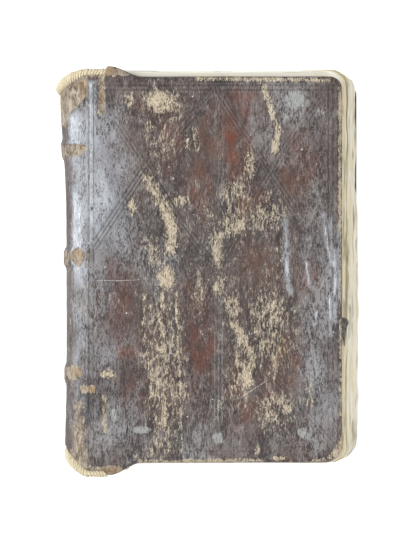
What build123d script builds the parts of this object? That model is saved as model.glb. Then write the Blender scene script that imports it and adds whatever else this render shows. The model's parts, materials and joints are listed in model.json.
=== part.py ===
from build123d import *
import os
from math import atan2, degrees

# A sewn manuscript book that lies on its back cover: +X runs from the spine to the fore-edge,
# +Y from the tail to the head and +Z up. All lengths are in millimetres.

# Covers, measured over the leather
cover_height = 200.0
cover_width = 131.5
board_thickness = 5.0
leather_thickness = 1.2
turn_in_width = 15.0
turn_in_thickness = 0.7
pastedown_thickness = 0.35
pastedown_lap = 5.0
head_corner_radius = 6.5
tail_corner_radius = 9.5
edge_bevel = 1.6
fold_bevel = 0.8

# Leather caps that swell over the endbands beside each joint, torn open at the joint
cap_tear_width = 8.5
cap_peak_width = 11.0
cap_length = 28.0

# Straight tooled lines on the covers, in groups of three
line_width = 0.9
line_depth = 0.35
line_spacing = 2.3
frame_inset = 5.6
joint_frame_inset = 3.6

# Leaves
text_thickness = 40.0
head_leaf_reach = 4.0
tail_leaf_reach = 0.5
front_leaf_reach = 1.6
back_leaf_setback = 0.5
leaf_stagger = 1.3
leaf_stagger_shares = (0.1, 0.8, 0.35, 0.0, 0.6, 0.2, 0.9, 0.3, 0.0, 0.5)

# Spine, which leans so that the back cover stands further out than the front one
lean = 10.5
spine_rise = 17.6
lining_thickness = 0.6
support_width = 7.0
support_height = 3.6
support_bed = 1.5
support_place_shares = (0.322, 0.034, -0.275)
channel_overrun_angle = 6.0
slip_length = 15.0
slip_thickness = 2.2
slip_plug_length = 3.0

# Endbands
endband_radius = 2.3
endband_core_radius = 1.4
endband_sink = 0.7
endband_dip = 6.5
head_endband_rise = 2.9
tail_endband_rise = 4.2
endband_tuck = 14.0
thread_pitch = 3.4
thread_bevel = 0.7
thread_lap = 0.4
thread_sides = 6

# Clearances
joint_gap = 0.15
glue_gap = 0.1
leaf_gap = 0.1

# Levels of a cover, counted outwards from its inner face
board_level = pastedown_thickness + turn_in_thickness
board_top = board_level + board_thickness
cover_thickness = board_top + leather_thickness
slip_level = board_level + board_thickness / 2
leather_height = cover_thickness - pastedown_thickness

# Levels of the whole book
text_low = cover_thickness + leaf_gap
text_high = text_low + text_thickness
book_thickness = text_high + leaf_gap + cover_thickness
half_height = cover_height / 2
board_edge = half_height - leather_thickness

# How far each endband's middle line and its leather cap stand past the board and cover edges
endband_rises = {1: head_endband_rise, -1: tail_endband_rise}
cap_rises = {end: rise + endband_radius + glue_gap for end, rise in endband_rises.items()}


def bulge_circle(front, back, rise):
    """Centre and radius of the circle through two points that bulges past their chord by the rise."""
    chord = front - back
    outward = Vector(-chord.Y, chord.X).normalized()
    radius = chord.length**2 / (8 * rise) + rise / 2
    centre = (front + back) / 2 + outward * (rise - radius)
    return centre, radius


# The spine's outer circle runs from joint to joint. The supports dive under the leather at the joints.
support_depth = leather_thickness + glue_gap + support_height / 2
support_seat = leather_thickness + lining_thickness + 2 * glue_gap + support_bed
support_rise = spine_rise - support_seat + support_height / 2
ridge_wall = glue_gap + leather_thickness
free_front = Vector(0, book_thickness)
free_back = Vector(lean, 0)
sunk_front = Vector(0, book_thickness - support_depth)
sunk_back = Vector(lean, support_depth)
free_centre, spine_radius = bulge_circle(free_front, free_back, spine_rise)
free_support_centre, support_radius = bulge_circle(sunk_front, sunk_back, support_rise)

# The origin is below the middle of the whole book, so both joints are placed from its two reaches
left_reach = support_radius + support_height / 2 + ridge_wall - free_support_centre.X
right_reach = lean + cover_width
front_joint = (left_reach - right_reach) / 2
back_joint = front_joint + lean
cover_middle = (cap_rises[-1] - cap_rises[1]) / 2
spine_centre = free_centre + Vector(front_joint, 0)
support_centre = free_support_centre + Vector(front_joint, 0)
support_places = [cover_middle + share * cover_height for share in support_place_shares]
leather_inner_radius = spine_radius - leather_thickness
lining_inner_radius = leather_inner_radius - glue_gap - lining_thickness
text_radius = lining_inner_radius - glue_gap
cut_reach = cover_height + cover_width


class Cover:
    """One cover: its working plane, its joint and the way its head points in that plane."""

    def __init__(self, name, joint, level, outward):
        self.name = name
        self.plane = Plane(origin=(joint, cover_middle, level), x_dir=(1, 0, 0), z_dir=(0, 0, outward))
        self.head = outward
        self.outward = Axis(self.plane.origin, self.plane.z_dir)

    def level(self, height):
        """The cover's plane at a height above its inner face."""
        return self.plane.offset(height)

    def across(self, y):
        """A plane across the cover at a place along its joint: x to the fore-edge, y outwards."""
        origin = self.plane.from_local_coords(Vector(0, y, 0))
        return Plane(origin=origin, x_dir=self.plane.x_dir, z_dir=self.plane.x_dir.cross(self.plane.z_dir))

    def along(self, y, height):
        """A plane at the joint that faces the fore-edge."""
        origin = self.plane.from_local_coords(Vector(0, y, height))
        return Plane(origin=origin, x_dir=self.plane.y_dir, z_dir=self.plane.x_dir)

    def endband_place(self, end):
        """The endband's place along the joint, for an end of the plane's own y direction."""
        return end * (board_edge + endband_rises[end * self.head])


front = Cover("front", front_joint, text_high + leaf_gap, 1)
back = Cover("back", back_joint, text_low - leaf_gap, -1)
covers = (front, back)
ends = (1, -1)
outside = {1: Align.MIN, -1: Align.MAX}


def save(builder, name):
    """Label a finished piece and write it to its own file."""
    builder.part.label = name
    export_step(builder.part, f"parts/{name}.step")


def sketch_cover(cover, height, inset):
    """Sketch a cover's outline with rounded fore-edge corners, drawn in by the inset on its free edges."""
    radii = {cover.head: head_corner_radius - inset, -cover.head: tail_corner_radius - inset}
    with BuildSketch(cover.level(height)) as outline:
        with Locations((joint_gap, 0)):
            Rectangle(
                cover_width - inset - joint_gap,
                cover_height - 2 * inset,
                align=(Align.MIN, Align.CENTER),
            )
        upper_corner = outline.vertices().group_by(Axis.X)[-1].sort_by(Axis.Y)[-1]
        fillet(upper_corner, radius=radii[1])
        lower_corner = outline.vertices().group_by(Axis.X)[-1].sort_by(Axis.Y)[0]
        fillet(lower_corner, radius=radii[-1])
    return outline.sketch


def sketch_cap(cover, height, end):
    """Sketch the swelling of the leather over an endband: flat at the joint, then an S-curve."""
    crest = end * (half_height + cap_rises[end * cover.head])
    edge = end * half_height
    inner = end * board_edge
    turn = ((cap_peak_width + cap_length) / 2, (crest + edge) / 2)
    corners = ((cap_length, edge), (cap_length, inner), (joint_gap, inner), (joint_gap, crest))
    with BuildSketch(cover.level(height)) as cap:
        with BuildLine():
            Polyline(*corners, (cap_peak_width, crest))
            shoulder = TangentArc((cap_peak_width, crest), turn, tangent=(1, 0))
            TangentArc(turn, (cap_length, edge), tangent=shoulder % 1)
        make_face()
    return cap.sketch


def sketch_slip(cover, place, margin):
    """Sketch a laced support end from the side: a strip in the board's face and a plug through it."""
    plug_start = slip_length - slip_plug_length
    strip_low = board_top - slip_thickness
    with BuildSketch(cover.across(place)) as slip:
        Polygon(
            (joint_gap, board_top),
            (slip_length, board_top),
            (slip_length, board_level),
            (plug_start, board_level),
            (plug_start, strip_low),
            (joint_gap, strip_low),
            align=None,
        )
        if margin > 0:
            offset(amount=margin, kind=Kind.INTERSECTION)
    return slip.sketch


def cut_lines(cover, start, stop, offsets):
    """Press a group of parallel tooled lines, with V-shaped sections, into a cover's face."""
    first = cover.level(cover_thickness).from_local_coords(Vector(*start))
    last = cover.level(cover_thickness).from_local_coords(Vector(*stop))
    run = last - first
    across = cover.plane.z_dir.cross(run.normalized())
    planes = [Plane(origin=first + across * shift, x_dir=across, z_dir=run) for shift in offsets]
    with BuildSketch(*planes) as sections:
        Polygon((-line_width, line_depth), (0, -line_depth), (line_width, line_depth), align=None)
    extrude(sections.sketch, amount=run.length, mode=Mode.SUBTRACT)


def cover_side():
    """Corners of the side of both joints on which the covers lie, in the section across the book."""
    front_side = front_joint - joint_gap
    back_side = back_joint - joint_gap
    middle = book_thickness / 2
    return (
        (front_side, middle),
        (back_side, middle),
        (back_side, -cut_reach),
        (cut_reach, -cut_reach),
        (cut_reach, cut_reach),
        (front_side, cut_reach),
    )


def trim_at_joints():
    """Cut a spine piece off where it would reach past either joint to a cover."""
    with BuildSketch(Plane.XZ) as side:
        Polygon(*cover_side(), align=None)
    extrude(side.sketch, amount=cut_reach, both=True, mode=Mode.SUBTRACT)


def sketch_disc(radius):
    """Sketch a disc about the spine's centre, in the section across the book."""
    with BuildSketch(Plane.XZ) as disc:
        with Locations((spine_centre.X, spine_centre.Y)):
            Circle(radius)
    return disc.sketch


def add_support(place, margin, mode):
    """Sweep a support's section round its own circle, from the front joint to the back one."""
    to_front = sunk_front - free_support_centre
    to_back = sunk_back - free_support_centre
    overrun = channel_overrun_angle if mode == Mode.SUBTRACT else 0
    radial = to_front.normalized().rotate(Axis.Z, -overrun)
    front_angle = degrees(atan2(to_front.Y, to_front.X)) - overrun
    back_angle = degrees(atan2(to_back.Y, to_back.X)) % 360 + overrun
    origin = Vector(support_centre.X, place, support_centre.Y)
    section = Plane(origin=origin, x_dir=(radial.X, 0, radial.Y), z_dir=(-radial.Y, 0, radial.X))
    with BuildSketch(section) as profile:
        with Locations((support_radius, 0)):
            Rectangle(support_height + 2 * margin, support_width + 2 * margin)
    turn = Axis(origin, (0, -1, 0))
    revolve(profile.sketch, axis=turn, revolution_arc=back_angle - front_angle, mode=mode)


def endband_points(end):
    """The endband's middle line at the front joint, at its crest on the spine and at the back joint."""
    y_joint = cover_middle + end * (board_edge + endband_rises[end])
    at_front = Vector(front_joint, y_joint, text_high + leaf_gap + slip_level)
    at_back = Vector(back_joint, y_joint, text_low - leaf_gap - slip_level)
    chord = at_front - at_back
    outward = Vector(-chord.Z, 0, chord.X).normalized()
    bulge = outward * (spine_rise - endband_sink)
    crest = (at_front + at_back) / 2 + bulge - Vector(0, end * endband_dip, 0)
    return at_front, crest, at_back


def endband_seat(end):
    """The slanting plane on which an endband sits, facing away from the middle of the book."""
    at_front, crest, at_back = endband_points(end)
    normal = (crest - at_back).cross(at_front - at_back).normalized() * end
    return Plane(origin=crest - normal * (endband_radius + glue_gap), z_dir=normal)


def trim_at_endbands():
    """Cut a spine piece off below both endbands."""
    for end in ends:
        split(bisect_by=endband_seat(end), keep=Keep.BOTTOM)


def add_core(planes, margin, mode):
    """Lay the core through all the planes, with straight runs between them, or cut its place."""
    sections = []
    for plane in planes:
        with BuildSketch(plane) as section:
            RegularPolygon(endband_core_radius + margin, thread_sides)
        sections.append(section.sketch.face())
    loft(sections, ruled=True, mode=mode)


def add_thread(planes):
    """Wind thread round the core's place, with the middle of a turn on every other plane."""
    with Locations(*[plane.location for plane in planes[1::2]]):
        add(turn.part)
    first = planes[0].offset(-thread_lap)
    last = planes[-1].offset(thread_lap)
    add_core([first, *planes[2:-1:2], last], glue_gap, Mode.SUBTRACT)


os.makedirs("parts", exist_ok=True)

# Boards, with a channel and a hole for each laced support
for cover in covers:
    with BuildPart() as board:
        extrude(sketch_cover(cover, board_level, leather_thickness + glue_gap), amount=board_thickness)
        for place in support_places:
            channel = sketch_slip(cover, cover.head * (place - cover_middle), glue_gap)
            extrude(channel, amount=support_width / 2 + glue_gap, both=True, mode=Mode.SUBTRACT)
    save(board, f"{cover.name}_board")

    with BuildPart() as slips:
        for place in support_places:
            slip = sketch_slip(cover, cover.head * (place - cover_middle), 0)
            extrude(slip, amount=support_width / 2, both=True)
    save(slips, f"{cover.name}_support_slips")

# Leather of the covers, folded round the board edges and turned in
frame_left = joint_frame_inset
frame_right = cover_width - frame_inset
frame_top = half_height - frame_inset
frame_centre = (frame_left + frame_right) / 2
triple = (-line_spacing, 0, line_spacing)
frame_lines = (
    ((frame_left - line_spacing, frame_top), (frame_right + line_spacing, frame_top)),
    ((frame_left - line_spacing, -frame_top), (frame_right + line_spacing, -frame_top)),
    ((frame_left, -frame_top - line_spacing), (frame_left, frame_top + line_spacing)),
    ((frame_right, -frame_top - line_spacing), (frame_right, frame_top + line_spacing)),
)
panel_lines = (
    ((frame_centre, -frame_top), (frame_centre, frame_top)),
    ((frame_left, frame_top), (frame_right, -frame_top)),
    ((frame_left, -frame_top), (frame_right, frame_top)),
    ((frame_left, 0), (frame_centre, frame_top)),
    ((frame_centre, frame_top), (frame_right, 0)),
    ((frame_right, 0), (frame_centre, -frame_top)),
    ((frame_centre, -frame_top), (frame_left, 0)),
)
tooling = {front: frame_lines + panel_lines, back: ()}
for cover in covers:
    with BuildPart() as leather:
        extrude(sketch_cover(cover, pastedown_thickness, 0), amount=leather_height)
        for end in ends:
            extrude(sketch_cap(cover, pastedown_thickness, end), amount=leather_height)
        outer_edges = leather.edges().group_by(cover.outward)[-1].sort_by(Axis.X)[1:]
        chamfer(outer_edges, length=edge_bevel)
        inner_edges = leather.edges().group_by(cover.outward)[0].sort_by(Axis.X)[1:]
        chamfer(inner_edges, length=fold_bevel)
        pocket = sketch_cover(cover, board_level, leather_thickness)
        extrude(pocket, amount=board_thickness, mode=Mode.SUBTRACT)
        with BuildSketch(cover.level(pastedown_thickness)):
            Rectangle(
                cover_width - turn_in_width,
                cover_height - 2 * turn_in_width,
                align=(Align.MIN, Align.CENTER),
            )
        extrude(amount=turn_in_thickness, mode=Mode.SUBTRACT)
        for end in ends:
            with BuildSketch(cover.along(cover.endband_place(end), slip_level)):
                RegularPolygon(endband_radius + glue_gap, thread_sides)
            extrude(amount=endband_tuck + glue_gap, mode=Mode.SUBTRACT)
            with BuildSketch(cover.plane):
                with Locations((0, end * board_edge)):
                    Rectangle(cap_tear_width, cut_reach, align=(Align.MIN, outside[end]))
            extrude(amount=cover_thickness, mode=Mode.SUBTRACT)
        for start, stop in tooling[cover]:
            cut_lines(cover, start, stop, triple)
    save(leather, f"{cover.name}_cover_leather")

# Pastedowns, which fill the space between the turn-ins and lap over them
for cover in covers:
    with BuildPart() as pastedown:
        with BuildSketch(cover.level(pastedown_thickness)):
            with Locations((joint_gap, 0)):
                Rectangle(
                    cover_width - turn_in_width - joint_gap - glue_gap,
                    cover_height - 2 * (turn_in_width + glue_gap),
                    align=(Align.MIN, Align.CENTER),
                )
        extrude(amount=turn_in_thickness)
        with BuildSketch(cover.plane):
            with Locations((joint_gap, 0)):
                Rectangle(
                    cover_width - turn_in_width - joint_gap + pastedown_lap,
                    cover_height - 2 * (turn_in_width - pastedown_lap),
                    align=(Align.MIN, Align.CENTER),
                )
        extrude(amount=pastedown_thickness)
    save(pastedown, f"{cover.name}_pastedown")

# Text block: rounded at the spine, with shoulders at the boards and a staggered, leaning fore-edge
group_height = text_thickness / len(leaf_stagger_shares)
front_leaf_edge = front_joint + cover_width + front_leaf_reach
back_leaf_edge = back_joint + cover_width - back_leaf_setback
leaf_slope = (back_leaf_edge - front_leaf_edge) / (len(leaf_stagger_shares) - 1)
tail_end = cover_middle - half_height - tail_leaf_reach
leaf_height = cover_height + tail_leaf_reach + head_leaf_reach
with BuildPart() as text_block:
    with BuildSketch(Plane.XZ.offset(-tail_end)):
        with Locations((spine_centre.X, spine_centre.Y)):
            Circle(text_radius)
        Polygon(*cover_side(), align=None, mode=Mode.SUBTRACT)
        for index, share in enumerate(leaf_stagger_shares):
            edge = front_leaf_edge + index * leaf_slope - share * leaf_stagger
            top = text_high - index * group_height
            shoulder = (front_joint if top > book_thickness / 2 else back_joint) - joint_gap
            with Locations((shoulder, top)):
                Rectangle(edge - shoulder, group_height, align=(Align.MIN, Align.MAX))
    extrude(amount=-leaf_height)
    for place in support_places:
        add_support(place, glue_gap, Mode.SUBTRACT)
    trim_at_endbands()
save(text_block, "text_block")

# Spine lining, in panels between the supports
with BuildPart() as lining:
    extrude(sketch_disc(leather_inner_radius - glue_gap), amount=cover_height, both=True)
    extrude(sketch_disc(lining_inner_radius), amount=cover_height, both=True, mode=Mode.SUBTRACT)
    for place in support_places:
        add_support(place, glue_gap, Mode.SUBTRACT)
    trim_at_joints()
    trim_at_endbands()
save(lining, "spine_lining")

# Spine leather, moulded over the supports
with BuildPart() as spine_leather:
    extrude(sketch_disc(spine_radius), amount=cover_height, both=True)
    for place in support_places:
        add_support(place, ridge_wall, Mode.ADD)
    extrude(sketch_disc(leather_inner_radius), amount=cover_height, both=True, mode=Mode.SUBTRACT)
    for place in support_places:
        add_support(place, glue_gap, Mode.SUBTRACT)
    trim_at_joints()
    trim_at_endbands()
save(spine_leather, "spine_leather")

# Sewing supports, which the raised bands cover
for name, place in zip(("upper", "middle", "lower"), support_places):
    with BuildPart() as support:
        add_support(place, 0, Mode.ADD)
        trim_at_joints()
    save(support, f"{name}_sewing_support")

# One turn of the endband thread, bevelled where it laps on its neighbours
with BuildPart() as turn:
    with BuildSketch():
        RegularPolygon(endband_radius, thread_sides)
    extrude(amount=(thread_pitch + thread_lap) / 2, both=True)
    rims = turn.edges().group_by(Axis.Z)
    chamfer(rims[0] + rims[-1], length=thread_bevel)

# Endbands on the spine: a core with thread wound over it, sunk towards the middle of the spine
for name, end in (("head", 1), ("tail", -1)):
    with BuildLine() as endband_line:
        ThreePointArc(*endband_points(end))
    path = endband_line.edge()
    step_count = 2 * round(path.length / thread_pitch)
    planes = [Plane(path ^ (index / step_count)) for index in range(step_count + 1)]
    with BuildPart() as core:
        add_core(planes[::2], 0, Mode.ADD)
        trim_at_joints()
    save(core, f"{name}_endband_core")

    with BuildPart() as thread:
        add_thread(planes)
        trim_at_joints()
    save(thread, f"{name}_endband_thread")

# Endband ends along the boards' edges, under the leather caps
end_length = endband_tuck - joint_gap
end_step_count = 2 * round(end_length / thread_pitch)
end_step = end_length / end_step_count
for cover in covers:
    band_planes = []
    for end in ends:
        start = cover.along(cover.endband_place(end), slip_level).offset(joint_gap)
        band_planes.append([start.offset(index * end_step) for index in range(end_step_count + 1)])

    with BuildPart() as cores:
        for planes in band_planes:
            add_core((planes[0], planes[-1]), 0, Mode.ADD)
    save(cores, f"{cover.name}_endband_cores")

    with BuildPart() as threads:
        for planes in band_planes:
            add_thread(planes)
        split(bisect_by=planes[0], keep=Keep.TOP)
        split(bisect_by=planes[-1], keep=Keep.BOTTOM)
    save(threads, f"{cover.name}_endband_threads")
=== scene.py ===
"""Dress the manuscript book: worn tooled leather, raised bands, sewn endbands and soiled leaves."""

from __future__ import annotations

import json
import logging
import math
import random
from dataclasses import dataclass
from enum import Enum
from typing import Any, Iterable, Sequence

import bmesh
import bpy
import numpy as np
from mathutils import Matrix, Vector, noise

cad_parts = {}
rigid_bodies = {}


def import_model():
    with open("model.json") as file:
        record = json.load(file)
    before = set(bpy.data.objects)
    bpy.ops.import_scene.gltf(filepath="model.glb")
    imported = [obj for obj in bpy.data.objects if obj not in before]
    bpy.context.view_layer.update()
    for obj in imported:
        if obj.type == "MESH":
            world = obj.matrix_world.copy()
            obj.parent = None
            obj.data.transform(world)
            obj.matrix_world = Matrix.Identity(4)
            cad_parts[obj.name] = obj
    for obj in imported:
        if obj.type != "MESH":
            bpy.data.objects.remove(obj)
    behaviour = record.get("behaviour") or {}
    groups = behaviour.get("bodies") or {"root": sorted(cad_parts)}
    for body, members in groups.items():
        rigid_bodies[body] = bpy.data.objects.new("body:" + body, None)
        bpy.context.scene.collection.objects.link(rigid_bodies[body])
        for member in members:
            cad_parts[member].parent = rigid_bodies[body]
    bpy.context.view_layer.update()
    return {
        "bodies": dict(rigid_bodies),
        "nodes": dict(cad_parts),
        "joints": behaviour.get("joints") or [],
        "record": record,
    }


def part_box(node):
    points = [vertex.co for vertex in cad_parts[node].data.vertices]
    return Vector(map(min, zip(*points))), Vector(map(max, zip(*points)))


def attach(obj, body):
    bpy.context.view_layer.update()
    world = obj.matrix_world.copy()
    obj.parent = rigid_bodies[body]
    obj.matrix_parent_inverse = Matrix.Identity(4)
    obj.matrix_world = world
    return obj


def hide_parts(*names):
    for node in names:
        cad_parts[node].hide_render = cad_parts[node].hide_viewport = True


Point = tuple[float, float]
Point3 = tuple[float, float, float]
RGB = tuple[float, float, float]
LOG = logging.getLogger("manuscript_book")

METRES_PER_MM = 0.001
MARK_FULL = 0.2
OVAL_END = 1.65
STREAK_END = 1.7


class Tone(Enum):
    """What a mark does to the leather under it."""

    TAN = "wear"
    RED = "red"
    WAX = "wax"
    # Lower roughness, plus painted sheen and painted white glints in the leather's colour.
    GLOSS_AND_PAINTED_SHEEN = "gloss_and_painted_sheen"
    SUEDE = "suede"
    NET = "net"
    OCHRE = "ochre"


@dataclass(frozen=True)
class Photo:
    """How the photograph's pixels lie on the front cover."""

    mm_per_pixel: float = 0.5161
    joint_column: float = 88.2
    middle_row: float = 269.75

    def column(self, x: np.ndarray) -> np.ndarray:
        """The pixel column of a distance in millimetres from the front joint."""
        return self.joint_column + x / self.mm_per_pixel

    def row(self, y: np.ndarray) -> np.ndarray:
        """The pixel row of a distance in millimetres above the covers' middle."""
        return self.middle_row - y / self.mm_per_pixel

    def place(self, pixel: Point) -> Point:
        """The place on the front cover, in millimetres, that a pixel shows."""
        column, row = pixel
        return (
            (column - self.joint_column) * self.mm_per_pixel,
            (self.middle_row - row) * self.mm_per_pixel,
        )


PHOTO = Photo()


@dataclass(frozen=True)
class Oval:
    """A soft oval mark: its middle and half sizes in photo pixels, and its strength."""

    tone: Tone
    x: float
    y: float
    half_width: float
    half_height: float
    strength: float

    def cover(self, columns: np.ndarray, rows: np.ndarray) -> np.ndarray:
        """How strongly the mark covers each pixel place.

        Args:
            columns: Pixel columns of the places.
            rows: Pixel rows of the places.

        Returns:
            A share of 0 to 1 for each place.
        """
        across = (columns - self.x) / self.half_width
        along = (rows - self.y) / self.half_height
        distance = np.sqrt(across**2 + along**2)
        return self.strength * fade(distance, OVAL_END, MARK_FULL)


@dataclass(frozen=True)
class Streak:
    """A soft line of marks through photo pixels, with its half width in pixels and its strength."""

    tone: Tone
    half_width: float
    strength: float
    points: tuple[Point, ...]

    def cover(self, columns: np.ndarray, rows: np.ndarray) -> np.ndarray:
        """How strongly the streak covers each pixel place.

        Args:
            columns: Pixel columns of the places.
            rows: Pixel rows of the places.

        Returns:
            A share of 0 to 1 for each place.
        """
        distance = distance_to_path(columns, rows, self.points)
        return self.strength * fade(distance / self.half_width, STREAK_END, MARK_FULL)


@dataclass(frozen=True)
class Patch:
    """An upright patch of marks between photo pixels, with the width of its soft edge in pixels."""

    tone: Tone
    left: float
    top: float
    right: float
    bottom: float
    soft: float
    strength: float

    def cover(self, columns: np.ndarray, rows: np.ndarray) -> np.ndarray:
        """How strongly the patch covers each pixel place.

        Args:
            columns: Pixel columns of the places.
            rows: Pixel rows of the places.

        Returns:
            A share of 0 to 1 for each place.
        """
        inside = np.minimum.reduce(
            (columns - self.left, self.right - columns, rows - self.top, self.bottom - rows)
        )
        return self.strength * fade(inside, -self.soft, self.soft)


def fade(value: np.ndarray, nothing: float, everything: float) -> np.ndarray:
    """A smooth step from 0 at one value to 1 at another.

    Args:
        value: The values to step over.
        nothing: Where the step is 0.
        everything: Where the step is 1.

    Returns:
        The step for each value.
    """
    share = np.clip((value - nothing) / (everything - nothing), 0.0, 1.0)
    return share * share * (3.0 - 2.0 * share)


def distance_to_path(x: np.ndarray, y: np.ndarray, points: Sequence[Point]) -> np.ndarray:
    """The distance of many places from a line of straight runs.

    Args:
        x: First coordinates of the places.
        y: Second coordinates of the places.
        points: The line's corners.

    Returns:
        The distance of each place from the line.
    """
    nearest = np.full(x.shape, np.inf)
    for (x0, y0), (x1, y1) in zip(points, points[1:]):
        run_x, run_y = x1 - x0, y1 - y0
        along = np.clip(((x - x0) * run_x + (y - y0) * run_y) / (run_x**2 + run_y**2), 0.0, 1.0)
        nearest = np.minimum(nearest, np.hypot(x - x0 - along * run_x, y - y0 - along * run_y))
    return nearest


def ripple(x: np.ndarray, y: np.ndarray, length: float, seed: float) -> np.ndarray:
    """Smooth uneven waves of about a given length, from -1 to 1.

    Args:
        x: First coordinates of the places.
        y: Second coordinates of the places.
        length: The waves' length, in the unit of the places.
        seed: Which waves.

    Returns:
        The height of the waves at each place.
    """
    heights = [noise.noise((a / length, b / length, seed)) for a, b in zip(x.tolist(), y.tolist())]
    return np.array(heights)


def ovals(tone: Tone, *shapes: tuple[float, float, float, float, float]) -> tuple[Oval, ...]:
    """Oval marks of one tone, each with its middle, half sizes and strength."""
    return tuple(Oval(tone, *shape) for shape in shapes)


WEAR_OVALS: tuple[Oval, ...] = (
    *ovals(
        Tone.TAN,
        (130, 100, 7, 11, 0.75), (161, 102, 18, 15, 1.0), (152, 122, 4, 12, 0.5),
        (187, 144, 4, 10, 0.7), (195, 140, 5, 16, 0.4), (132, 206, 6, 11, 0.8),
        (179, 201, 10, 6, 0.65), (153, 255, 12, 20, 0.5), (167, 278, 9, 13, 0.95),
        (118, 300, 20, 30, 0.25), (162, 450, 22, 12, 0.55), (136, 452, 9, 10, 0.45),
        (168, 425, 14, 22, 0.4), (250, 165, 8, 18, 0.5), (232, 190, 10, 14, 0.4),
        (236, 224, 13, 16, 0.62), (218, 250, 6, 30, 0.52), (268, 214, 18, 20, 0.42),
        (281, 245, 5, 22, 0.4), (220, 285, 7, 12, 0.55), (233, 308, 8, 16, 0.6),
        (272, 316, 13, 24, 0.5), (247, 374, 6, 18, 0.75), (292, 356, 16, 26, 0.4),
        (268, 410, 11, 13, 0.55), (287, 408, 7, 7, 0.75), (311, 402, 9, 7, 0.7),
        (308, 385, 8, 14, 0.4), (220, 410, 5, 14, 0.5), (258, 451, 4, 6, 0.7),
        (279, 459, 10, 3, 0.85), (116, 72, 12, 5, 0.85), (112, 473, 16, 5, 0.75),
        (104, 411, 4, 20, 0.3), (107, 374.5, 9, 4.5, 1.0), (200, 300, 12, 30, 0.2),
        (256, 345, 22, 40, 0.3),
    ),
    *ovals(
        Tone.RED,
        (233, 145, 20, 32, 0.85), (243, 97, 15, 9, 0.75), (245, 112, 7, 7, 0.7),
        (212, 122, 14, 32, 0.5), (139, 107, 6, 6, 0.5), (172, 140, 12, 30, 0.4),
        (200, 190, 14, 30, 0.5), (248, 200, 14, 16, 0.6), (300, 165, 18, 38, 0.6),
        (128, 353, 11, 9, 0.75), (115, 300, 16, 40, 0.4), (186, 288, 5, 8, 0.7),
        (198, 345, 15, 62, 0.5), (211, 336, 8, 44, 0.45), (262, 265, 16, 26, 0.35),
        (292, 360, 18, 26, 0.55), (240, 400, 18, 30, 0.45), (270, 395, 10, 22, 0.5),
        (135, 385, 12, 22, 0.4), (310, 275, 8, 20, 0.45),
    ),
    *ovals(
        Tone.WAX,
        (296, 100, 12, 11, 0.9), (286, 118, 7, 8, 0.6), (321, 112, 11, 9, 0.55),
        (218.5, 439, 6.5, 6.5, 1.0), (303, 433, 5.5, 6.5, 0.9), (114, 416, 5, 8, 0.85),
        (142, 430.5, 10, 4.5, 0.9), (178, 258, 10, 6, 0.5), (319, 378, 14, 26, 0.45),
        (283, 163, 6, 10, 0.5), (324, 257, 8, 8, 0.4), (205, 408, 9, 7, 0.4),
    ),
    # Gloss marks: lower roughness, with painted sheen in the colour.
    *ovals(
        Tone.GLOSS_AND_PAINTED_SHEEN,
        (101, 190, 30, 88, 0.74), (100, 330, 20, 90, 0.3), (112, 425, 34, 45, 0.3),
        (160, 262, 26, 30, 0.3), (320, 300, 18, 100, 0.35), (318, 390, 26, 60, 0.45),
        (285, 110, 45, 40, 0.3), (200, 445, 80, 24, 0.25),
    ),
    *ovals(
        Tone.NET,
        (164, 372, 24, 90, 0.66), (164, 120, 26, 60, 0.5), (272, 330, 26, 60, 0.62),
        (276, 412, 26, 28, 0.6), (238, 372, 14, 40, 0.6), (236, 210, 26, 40, 0.55),
    ),
    *ovals(
        Tone.OCHRE,
        (292, 357, 18, 30, 0.7), (108, 71, 7, 4, 0.9), (113, 472, 11, 4, 0.8),
        (172, 372, 8, 40, 0.35), (83, 257.5, 5, 5, 0.9),
    ),
    *ovals(
        Tone.SUEDE,
        (84, 257.5, 7, 8, 1.0),
    ),
)

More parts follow.
